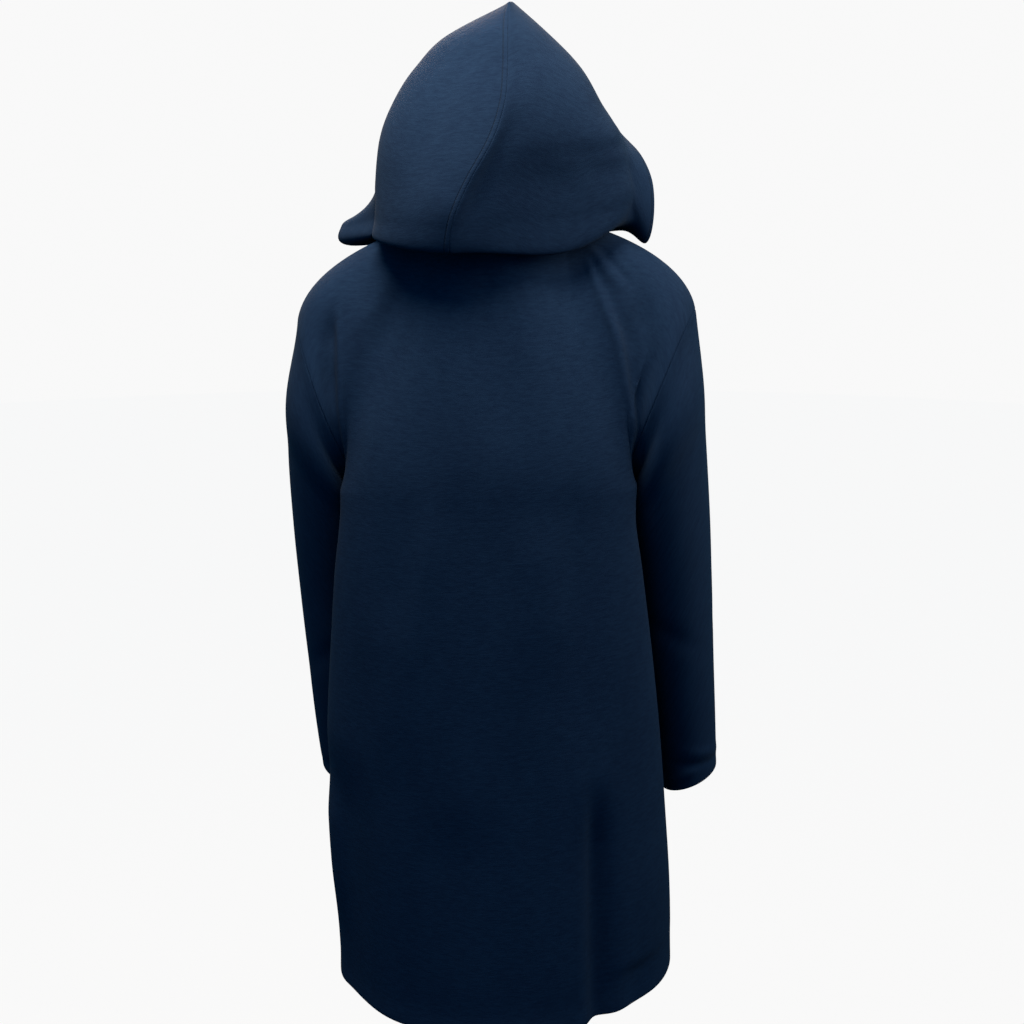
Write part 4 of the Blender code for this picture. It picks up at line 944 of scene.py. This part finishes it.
def tube(route, radius, around, upright):
    """A closed round tube along a route, with its ends rounded off as quarter circles: rings square to the
    route, the first point of each one square to upright too. Gives points, faces, and how far along and
    round each point is."""
    ahead = unit(np.gradient(route, axis=0))
    side = unit(np.cross(ahead, upright))
    cap = np.linspace(0, math.pi / 2, CAP_RINGS + 1)[1:]
    middle = np.concatenate([route[0] - ahead[0] * radius * np.sin(cap[::-1, None]), route,
                             route[-1] + ahead[-1] * radius * np.sin(cap[:, None])])
    size = np.concatenate([np.cos(cap[::-1]), np.ones(len(route)), np.cos(cap)]).clip(CAP_TIP) * radius
    side, other = (np.pad(way, ((CAP_RINGS, CAP_RINGS), (0, 0)), mode="edge")
                   for way in (side, np.cross(ahead, side)))
    turn, ring = circle(side, other, around)
    return capped(middle[:, None] + ring * size[:, None, None], distances(middle, 0), turn * radius)


def capped(rings, along, around):
    """The points and faces of rings of points, one after another, closed by a face at both ends, and where
    each point is: how far along the rings and round them."""
    rows, count = rings.shape[:2]
    index = np.arange(rows * count).reshape(rows, count)
    faces = [squares(np.concatenate([index, index[:, :1]], axis=1)), index[:1, ::-1], index[-1:]]
    places = np.stack(np.broadcast_arrays(along[:, None], around[None], 0.0), -1).reshape(-1, 3)
    return rings.reshape(-1, 3), faces, places


def turned_toggle(right, z):
    """A turned toggle, upright in front of the loop: its profile carried round a straight axis, and its ends
    rounded off. Gives points, faces, and how far along and round it each point is."""
    height = np.linspace(-TOGGLE_LENGTH / 2, TOGGLE_LENGTH / 2, TOGGLE_RINGS)
    low, high = on_front(right, TOGGLE_X, z + height[[0, -1]], TOGGLE_OUT)
    axis = unit(high - low)
    across = unit(np.cross(axis, ALONG_Y))
    radius = column(TOGGLE_PROFILE, "radius", height, "height")
    bowl = np.clip((np.abs(height) - TOGGLE_LENGTH / 2 + TOGGLE_END) / TOGGLE_END, 0, 1)
    radius = radius * np.sqrt(1.0 - TOGGLE_BOWL * bowl ** 2)
    turn, ring = circle(across, np.cross(axis, across), TOGGLE_SIDES)
    middle = on_front(right, TOGGLE_X, z, TOGGLE_OUT)
    rings = middle + axis * height[:, None, None] + ring * radius[:, None, None]
    return capped(rings, height, turn * TOGGLE_WAIST)


# ---- materials ----------------------------------------------------------------------------------------

MADE_NAMES = {}             # the name of what each maker function built, by the function's own name


def feed(tree, node, inputs):
    """Gives a node its inputs, each a value or another node's output to link."""
    for key, value in dict(inputs).items():
        if isinstance(value, bpy.types.NodeSocket):
            tree.links.new(value, node.inputs[key])
        else:
            node.inputs[key].default_value = value
    return node


def add_node(tree, kind, inputs=(), **settings):
    """Adds a shader node with its settings and inputs."""
    made = tree.nodes.new("ShaderNode" + kind)
    for setting, value in settings.items():
        setattr(made, setting, value)
    return feed(tree, made, inputs)


def maths(tree, operation, *values):
    """The output of a Math node."""
    return add_node(tree, "Math", enumerate(values), operation=operation).outputs[0]


def blend_colours(tree, share, first, second):
    """The output of a Mix node that goes from the first colour to the second."""
    return add_node(tree, "Mix", {0: share, 6: first, 7: second}, data_type="RGBA").outputs[2]


def ranged(tree, value, low, high, to_low=0.0, to_high=1.0):
    """The output of a Map Range node, smooth and held within its ends."""
    return add_node(tree, "MapRange", {0: value, 1: low, 2: high, 3: to_low, 4: to_high},
                    interpolation_type="SMOOTHSTEP").outputs[0]


def weighted(tree, *parts):
    """The sum of outputs, each times its weight."""
    total = 0.0
    for output, weight in parts:
        total = maths(tree, "MULTIPLY_ADD", output, weight, total)
    return total


def noise(tree, place, scale, detail, **more):
    """The output of a Noise Texture node."""
    made = add_node(tree, "TexNoise", {"Vector": place, "Scale": scale, "Detail": detail, **more})
    return made.outputs["Fac"]


def bumped(tree, height, distance, strength, **more):
    """The output of a Bump node."""
    return add_node(tree, "Bump", {"Height": height, "Distance": distance, "Strength": strength,
                                   **more}).outputs[0]


def stored(tree, name, output="Fac"):
    """What is stored at the piece's points under a name: a number, or with output Vector a vector."""
    return add_node(tree, "Attribute", attribute_name=name).outputs[output]


def opaque(colour, share=1.0):
    """A colour for a node, or a share of its brightness."""
    return (*(share * np.array(colour)), 1.0)


def node_group(name, inputs, outputs):
    """A new shader node group with named sockets, what it is given, and the node for what it puts out."""
    tree = bpy.data.node_groups.new(name, "ShaderNodeTree")
    for way, sockets in (("INPUT", inputs), ("OUTPUT", outputs)):
        for label, kind in sockets.items():
            tree.interface.new_socket(label, in_out=way, socket_type="NodeSocket" + kind)
    return tree, tree.nodes.new("NodeGroupInput").outputs, tree.nodes.new("NodeGroupOutput")


def felt_group():
    """Felted nap: short fibres that lie mostly across the cloth, clumps of them, and broad brushed areas.
    The colour goes from the wool's own to the paler nap's."""
    tree, given, result = node_group(
        "felted nap", {"Place": "Vector", "Wool": "Color", "Nap": "Color", "Mottle": "Float"},
        {"Colour": "Color", "Height": "Float"})
    tones = []
    heights = []
    for scale, across, up, detail, tone, height in zip(*FELT_LAYERS.values()):
        place = add_node(tree, "Mapping", {"Vector": given["Place"], "Scale": (across, up, 1.0)}).outputs[0]
        layer = noise(tree, place, scale, detail, Roughness=FELT_ROUGHNESS)
        tones.append((layer, tone))
        heights.append((layer, height))
    share = maths(tree, "MULTIPLY", ranged(tree, weighted(tree, *tones), *FELT_TONES), given["Mottle"])
    feed(tree, result, {"Colour": blend_colours(tree, share, given["Wool"], given["Nap"]),
                        "Height": weighted(tree, *heights)})
    return tree


def stitch_group():
    """A row of machine stitches at a distance from an edge: a groove pressed into the cloth, and in it a
    thread that shows as short dashes. Thread is 1 on the thread, Height falls in the groove."""
    places = dict.fromkeys(("Inset", "Along", "Row", "Groove", "Stitch"), "Float")
    tree, given, result = node_group("stitch row", places, {"Thread": "Float", "Height": "Float"})
    off = maths(tree, "ABSOLUTE", maths(tree, "SUBTRACT", given["Inset"], given["Row"]))
    off = maths(tree, "DIVIDE", off, given["Groove"])
    wave = maths(tree, "FRACT", maths(tree, "DIVIDE", given["Along"], given["Stitch"]))
    dash = ranged(tree, maths(tree, "ABSOLUTE", maths(tree, "SUBTRACT", wave, 0.5)), *THREAD_ENDS)
    thread = maths(tree, "MULTIPLY", dash, ranged(tree, off, *THREAD_SIDES))
    groove = ranged(tree, off, 1.0, 0.0)
    raised_thread = maths(tree, "MULTIPLY", thread, THREAD_RISE)
    feed(tree, result, {"Thread": thread, "Height": maths(tree, "SUBTRACT", raised_thread, groove)})
    return tree


def braid_group():
    """Braided cord: strands that cross in two slanting directions, each a sine, the higher one over the
    other. Its colour is painted darker where the braid is low, as painted shade between the strands."""
    tree, given, result = node_group(
        "braid", {"Place": "Vector", "Dark": "Color", "Light": "Color", "Strand": "Float"},
        {"Colour": "Color", "Height": "Float"})
    along, around = add_node(tree, "SeparateXYZ", {0: given["Place"]}).outputs[:2]
    strands = []
    for way in (1.0, -1.0):
        run = maths(tree, "DIVIDE", maths(tree, "MULTIPLY_ADD", around, way, along), given["Strand"])
        strands.append(maths(tree, "SINE", maths(tree, "MULTIPLY", run, math.tau)))
    height = maths(tree, "MAXIMUM", *strands)
    # colour by the braid's height: painted shade, darker in the low places between the strands
    share = ranged(tree, height, *BRAID_SHADE_HEIGHTS)
    feed(tree, result, {"Colour": blend_colours(tree, share, given["Dark"], given["Light"]),
                        "Height": height})
    return tree


def grain_group():
    """Wood grain along the piece: long streaks, and finer pores among them."""
    tree, given, result = node_group(
        "wood grain", {"Place": "Vector", "Dark": "Color", "Light": "Color"},
        {"Colour": "Color", "Roughness": "Float", "Height": "Float"})
    long_way = add_node(tree, "Mapping", {"Vector": given["Place"], "Scale": GRAIN_STRETCH}).outputs[0]
    streaks = noise(tree, long_way, STREAK_SCALE, detail=4.0, Distortion=STREAK_WAVER)
    pores = noise(tree, long_way, PORE_SCALE, detail=2.0)
    share = ranged(tree, weighted(tree, (streaks, 1.0 - PORE_SHARE), (pores, PORE_SHARE)), *GRAIN_TONES)
    feed(tree, result, {"Colour": blend_colours(tree, share, given["Dark"], given["Light"]),
                        "Roughness": ranged(tree, pores, *PORE_TONES, *WOOD_ROUGHNESS),
                        "Height": pores})
    return tree


def made_once(stock, maker, *given):
    """The node group or material that a maker function builds, built once and then found by its name in the
    file's stock of them."""
    made = stock.get(MADE_NAMES.get(maker.__name__, ""))
    if made is None:
        made = maker(*given)
        MADE_NAMES[maker.__name__] = made.name
    return made


def place_group(tree, maker, inputs):
    """Places the node group that a maker function builds. Gives its outputs."""
    return add_node(tree, "Group", inputs, node_tree=made_once(bpy.data.node_groups, maker)).outputs


def new_material(name):
    """A new material and its Principled shader."""
    made = bpy.data.materials.new(name)
    made.use_nodes = True
    return made, made.node_tree, made.node_tree.nodes["Principled BSDF"]


def wool_material(colours):
    """Felted wool: nap on the flat cloth's own places, rows of stitches where an edge has them, and the
    pale sheen of its fibres."""
    made, tree, shader = new_material("felted wool")
    felt = place_group(tree, felt_group, {"Place": stored(tree, "flat", "Vector"),
                                          "Wool": opaque(colours.wool), "Nap": opaque(colours.nap),
                                          "Mottle": 1.0})
    stitch = place_group(tree, stitch_group, {"Inset": stored(tree, "inset"), "Along": stored(tree, "along"),
                                              "Row": STITCH_ROW, "Groove": STITCH_GROOVE,
                                              "Stitch": STITCH_LENGTH})
    pressed = bumped(tree, stitch["Height"], distance=0.0007, strength=0.9)
    feed(tree, shader, {
        "Base Color": blend_colours(tree, stitch["Thread"], felt["Colour"], opaque(colours.thread)),
        "Normal": bumped(tree, felt["Height"], distance=0.0005, strength=0.6, Normal=pressed),
        "Roughness": 0.95,
        "Specular IOR Level": 0.03,
        "Sheen Weight": 0.008,
        "Sheen Roughness": 0.55,
        "Sheen Tint": opaque(colours.sheen),
    })
    return made


def cord_material(colours):
    """Braided cord with the soft shine of its yarn."""
    made, tree, shader = new_material("braided cord")
    braid = place_group(tree, braid_group, {"Place": stored(tree, "flat", "Vector"),
                                            # the dark colour, 0.4 of the cord's, is painted shade for the
                                            # low places of the braid
                                            "Dark": opaque(colours.cord, 0.4),
                                            "Light": opaque(colours.cord), "Strand": STRAND})
    feed(tree, shader, {
        "Base Color": braid["Colour"],
        "Normal": bumped(tree, braid["Height"], distance=0.0004, strength=0.9),
        "Roughness": 0.7,
        "Sheen Weight": 0.2,
    })
    return made


def wood_material(colours):
    """Oiled wood with its grain along the toggle."""
    made, tree, shader = new_material("oiled wood")
    grain = place_group(tree, grain_group, {"Place": add_node(tree, "TexCoord").outputs["Object"],
                                            "Dark": opaque(colours.wood, 0.35),
                                            "Light": opaque(colours.wood)})
    feed(tree, shader, {
        "Base Color": grain["Colour"],
        "Roughness": grain["Roughness"],
        "Normal": bumped(tree, grain["Height"], distance=0.0002, strength=0.6),
        "Coat Weight": 0.25,
        "Coat Roughness": 0.3,
    })
    return made


def plain_material(name, paleness, glow):
    """A plain pale surface of the studio. It shows with a glow of its own, a colour that evens out its
    light, and lights nothing else."""
    made, tree, shader = new_material(name)
    feed(tree, shader, {
        "Base Color": (paleness, paleness, paleness, 1.0),
        "Roughness": 1.0,
        "Specular IOR Level": 0.0,
        "Emission Color": opaque(glow),
        "Emission Strength": add_node(tree, "LightPath").outputs["Is Camera Ray"],
    })
    return made


# ---- user settings --------------------------------------------------------------------------------------


def colour_setting(name, text, default):
    """A colour that a user can change."""
    return FloatVectorProperty(name=name, description=text, subtype="COLOR", size=3, min=0.0, max=1.0,
                               default=default)


class CoatCloth(bpy.types.PropertyGroup):
    """Sizes of the coat's cloth."""

    thickness: FloatProperty(name="Thickness", description="Thickness of the felted wool", default=CLOTH,
                             min=0.001, max=0.003, unit="LENGTH", precision=4)
    step: FloatProperty(name="Grid step", description="Distance between the points of the cloth's grids",
                        default=0.0044, min=0.003, max=0.02, unit="LENGTH", precision=4)


class CoatColours(bpy.types.PropertyGroup):
    """Colours of the coat's materials."""

    wool: colour_setting("Wool", "Colour of the felted wool", (0.0020, 0.0078, 0.0245))
    nap: colour_setting("Nap", "Colour of its raised fibres", (0.0036, 0.0125, 0.0350))
    sheen: colour_setting("Sheen", "Tint of the light that the nap scatters", (0.55, 0.80, 1.0))
    thread: colour_setting("Thread", "Colour of the stitches", (0.0030, 0.0080, 0.0200))
    cord: colour_setting("Cord", "Colour of the braided cords", (0.016, 0.016, 0.020))
    wood: colour_setting("Wood", "Colour of the toggles", (0.070, 0.030, 0.013))


class CoatStudio(bpy.types.PropertyGroup):
    """The camera and the lights."""

    turn: FloatProperty(name="Camera turn", description="How far round from straight behind it stands",
                        default=math.radians(6.0), unit="ROTATION")
    height: FloatProperty(name="Camera height", description="How far the camera looks down",
                          default=math.radians(13.5), unit="ROTATION")
    distance: FloatProperty(name="Camera distance", description="From the coat's middle", default=2.13,
                            unit="LENGTH")
    lens: FloatProperty(name="Lens", description="Focal length in millimetres", default=59.13)
    key: FloatProperty(name="Key light", description="Power of the light above the hood", default=88.0,
                       subtype="POWER")
    fill: FloatProperty(name="Fill light", description="Power of the light on the wearer's right",
                        default=27.0, subtype="POWER")
    front: FloatProperty(name="Front light", description="Power of the light before the coat", default=55.0,
                         subtype="POWER")
    room: FloatProperty(name="Room light", description="Strength of the light from all round", default=0.72)
    lamp_tint: colour_setting("Lamp tint", "Colour of the three lamps", (1.0, 0.69, 0.47))
    room_tint: colour_setting("Room tint", "Colour of the light from all round", (0.06, 0.70, 1.0))
    backdrop: FloatProperty(name="Backdrop", description="Brightness of the backdrop", default=0.945)


# ---- pieces -----------------------------------------------------------------------------------------------


def dress(piece, node, maker):
    """Gives a piece its material and lets it stand for its CAD node."""
    piece.data.materials.append(made_once(bpy.data.materials, maker, bpy.context.scene.coat_colours))
    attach(piece, "root")
    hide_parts(node)


def sew(name, node, grid, stitched, closed=False):
    """Makes a cloth piece from its grid."""
    thickness = bpy.context.scene.coat_cloth.thickness
    piece = cloth_object(name, grid, thickness, stitched, closed)
    dress(piece, node, wool_material)


class MakeBack(bpy.types.Operator):
    """Makes the back, one panel from side seam to side seam."""

    bl_idname = "coat.back"
    bl_label = "Back"

    def execute(self, context):
        grid, _ = back_cloth(context.scene.coat_cloth.step)
        sew("back_cloth", "back", grid, ())
        return {"FINISHED"}


class MakeFronts(bpy.types.Operator):
    """Makes the two fronts, the left one over the right one."""

    bl_idname = "coat.fronts"
    bl_label = "Fronts"

    def execute(self, context):
        for side, label, free_edge in ((1, "left", "first"), (-1, "right", "last")):
            grid, _ = front_cloth(side, context.scene.coat_cloth.step)
            sew(f"front_{label}_cloth", f"front_{label}", grid, (free_edge,))
        return {"FINISHED"}


class MakeSleeves(bpy.types.Operator):
    """Makes the two sleeves, each a tube from its armhole to its cuff."""

    bl_idname = "coat.sleeves"
    bl_label = "Sleeves"

    def execute(self, context):
        for side, label in ((1, "left"), (-1, "right")):
            grid = sleeve_cloth(side, context.scene.coat_cloth.step)
            sew(f"sleeve_{label}_cloth", f"sleeve_{label}", grid, (),
                closed=True)
        return {"FINISHED"}


class MakeHood(bpy.types.Operator):
    """Makes the hood's two halves, which meet in the seam over the crown and down the back. Both face edges
    are stitched, and the left half is along the seam too."""

    bl_idname = "coat.hood"
    bl_label = "Hood"

    def execute(self, context):
        step = context.scene.coat_cloth.step
        hood_step = step * HOOD_STEP_SHARE
        places = stations(HOOD_ACROSS, hood_step)
        back = back_cloth(step)
        for side, label, edges in ((1, "left", ("first", "last", "high")), (-1, "right", ("last",))):
            neck = neck_line(side, back, front_cloth(side, step), places)
            grid = hood_cloth(side, neck, places, hood_step)
            sew(f"hood_{label}_cloth", f"hood_{label}", grid, edges)
        return {"FINISHED"}


class MakeFastenings(bpy.types.Operator):
    """Makes the four closures: tabs, cord loops, short cords and turned toggles."""

    bl_idname = "coat.fastenings"
    bl_label = "Fastenings"

    def execute(self, context):
        step = context.scene.coat_cloth.step
        left, right = (front_cloth(side, step)[0] for side in (1, -1))
        for number, z in enumerate(CLOSURE_ZS, start=1):
            self.lay_tab(f"loop_tab_{number}", "front_left",
                         tab_grid(left, TAB_X_LEFT, z, (LOOP_RADIUS, -LOOP_RADIUS), -1, LOOP_THICK))
            self.lay_tab(f"toggle_tab_{number}", "front_right",
                         tab_grid(right, TAB_X_RIGHT, z, (0.0,), 1, STEM_THICK))
            self.add_round(f"loop_{number}", "cord", cord_material,
                           *tube(loop_route(left, right, z), LOOP_THICK / 2, LOOP_SIDES, ALONG_Y))
            self.add_round(f"toggle_cord_{number}", "cord", cord_material,
                           *tube(stem_route(right, z), STEM_THICK / 2, STEM_SIDES, ALONG_Z))
            self.add_round(f"toggle_{number}", "wood", wood_material, *turned_toggle(right, z))
        return {"FINISHED"}

    def lay_tab(self, node, under, grid):
        """Makes a tab with stitches round its edge, which lies on the front under it."""
        piece = cloth_object(node + "_cloth", grid, TAB_THICKNESS, ("low", "high", "first", "last"))
        dress(piece, node, wool_material)

    def add_round(self, node, slot, maker, points, faces, places):
        """Makes a cord or a toggle from its rings."""
        piece = mesh_object(node + "_shape", points, faces, {"flat": places})
        dress(piece, node, maker)


class MakeStudio(bpy.types.Operator):
    """Makes the pale floor, the soft lights and the camera behind the coat."""

    bl_idname = "coat.studio"
    bl_label = "Studio"

    def execute(self, context):
        scene = context.scene
        studio = scene.coat_studio
        self.add_camera(scene, studio)
        for name, (size, place, aim) in LAMPS.items():
            self.add_lamp(name, getattr(studio, name), studio.lamp_tint, size, place, aim)
        self.add_floor(studio)
        self.light_room(scene, studio)
        scene.view_settings.view_transform = "Standard"
        return {"FINISHED"}

    def add_camera(self, scene, studio):
        """The camera, at its distance from what it looks at, turned and raised from straight behind."""
        level = math.cos(studio.height)
        back = np.array((-math.sin(studio.turn) * level, math.cos(studio.turn) * level,
                         math.sin(studio.height)))
        camera = bpy.data.objects.new("camera", bpy.data.cameras.new("camera"))
        camera.data.lens = studio.lens
        camera.location = np.array(LOOK_AT) + back * studio.distance
        camera.rotation_euler = (math.pi / 2 - studio.height, 0.0, math.pi + studio.turn)
        scene.collection.objects.link(camera)
        scene.camera = camera

    def add_lamp(self, name, power, tint, size, place, aim):
        """A soft round lamp at a place, turned towards its aim."""
        light = bpy.data.lights.new(name, "AREA")
        light.shape = "DISK"
        light.size = size
        light.energy = power
        light.color = tint
        made = bpy.data.objects.new(name, light)
        made.location = place
        away = np.array(place) - np.array(aim)
        made.rotation_euler = (math.atan2(math.hypot(away[0], away[1]), away[2]), 0.0,
                               math.atan2(away[0], -away[1]))
        bpy.context.scene.collection.objects.link(made)

    def add_floor(self, studio):
        """A round pale floor, whose glow makes up what its light lacks of the backdrop's brightness."""
        _, ring = circle(*np.eye(3)[:2], FLOOR_CORNERS)
        floor = mesh_object("floor", FLOOR_RADIUS * ring + (0.0, 0.0, FLOOR_Z),
                            [np.arange(FLOOR_CORNERS)[None]], {})
        lit = studio.room * np.array(studio.room_tint) + FLOOR_LAMPS * np.array(studio.lamp_tint)
        glow = studio.backdrop - FLOOR_PALENESS * lit
        floor.data.materials.append(plain_material("pale floor", FLOOR_PALENESS, glow))

    def light_room(self, scene, studio):
        """The room lights the coat softly, and shows as the pale backdrop."""
        world = bpy.data.worlds.new("room")
        scene.world = world
        world.use_nodes = True
        tree = world.node_tree
        seen = add_node(tree, "LightPath").outputs["Is Camera Ray"]
        colour = blend_colours(tree, seen, opaque(studio.room_tint, studio.room),
                               opaque([studio.backdrop] * 3))
        feed(tree, tree.nodes["Background"], {"Color": colour, "Strength": 1.0})


class CoatPanel(bpy.types.Panel):
    """The coat's settings and the buttons that make its pieces."""

    bl_idname = "VIEW3D_PT_coat"
    bl_label = "Duffle Coat"
    bl_space_type = "VIEW_3D"
    bl_region_type = "UI"
    bl_category = "Coat"

    def draw(self, context):
        for settings in (context.scene.coat_cloth, context.scene.coat_colours, context.scene.coat_studio):
            box = self.layout.box()
            for name in settings.__annotations__:
                box.prop(settings, name)
        for maker in MAKERS:
            self.layout.operator(maker.bl_idname)


MAKERS = (MakeBack, MakeFronts, MakeSleeves, MakeHood, MakeFastenings, MakeStudio)
SETTINGS = {"coat_cloth": CoatCloth, "coat_colours": CoatColours, "coat_studio": CoatStudio}


def register():
    """Registers the settings, the operators and the panel."""
    for kind in (*SETTINGS.values(), *MAKERS, CoatPanel):
        bpy.utils.register_class(kind)
    for name, kind in SETTINGS.items():
        setattr(bpy.types.Scene, name, PointerProperty(type=kind))


def unregister():
    """Takes them away again."""
    for name in SETTINGS:
        delattr(bpy.types.Scene, name)
    for kind in (CoatPanel, *reversed(MAKERS), *reversed(tuple(SETTINGS.values()))):
        bpy.utils.unregister_class(kind)


def main():
    """Makes the whole coat and its studio."""
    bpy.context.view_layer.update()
    register()
    bpy.ops.coat.back()
    bpy.ops.coat.fronts()
    bpy.ops.coat.sleeves()
    bpy.ops.coat.hood()
    bpy.ops.coat.fastenings()
    bpy.ops.coat.studio()


if __name__ == "__main__":
    main()
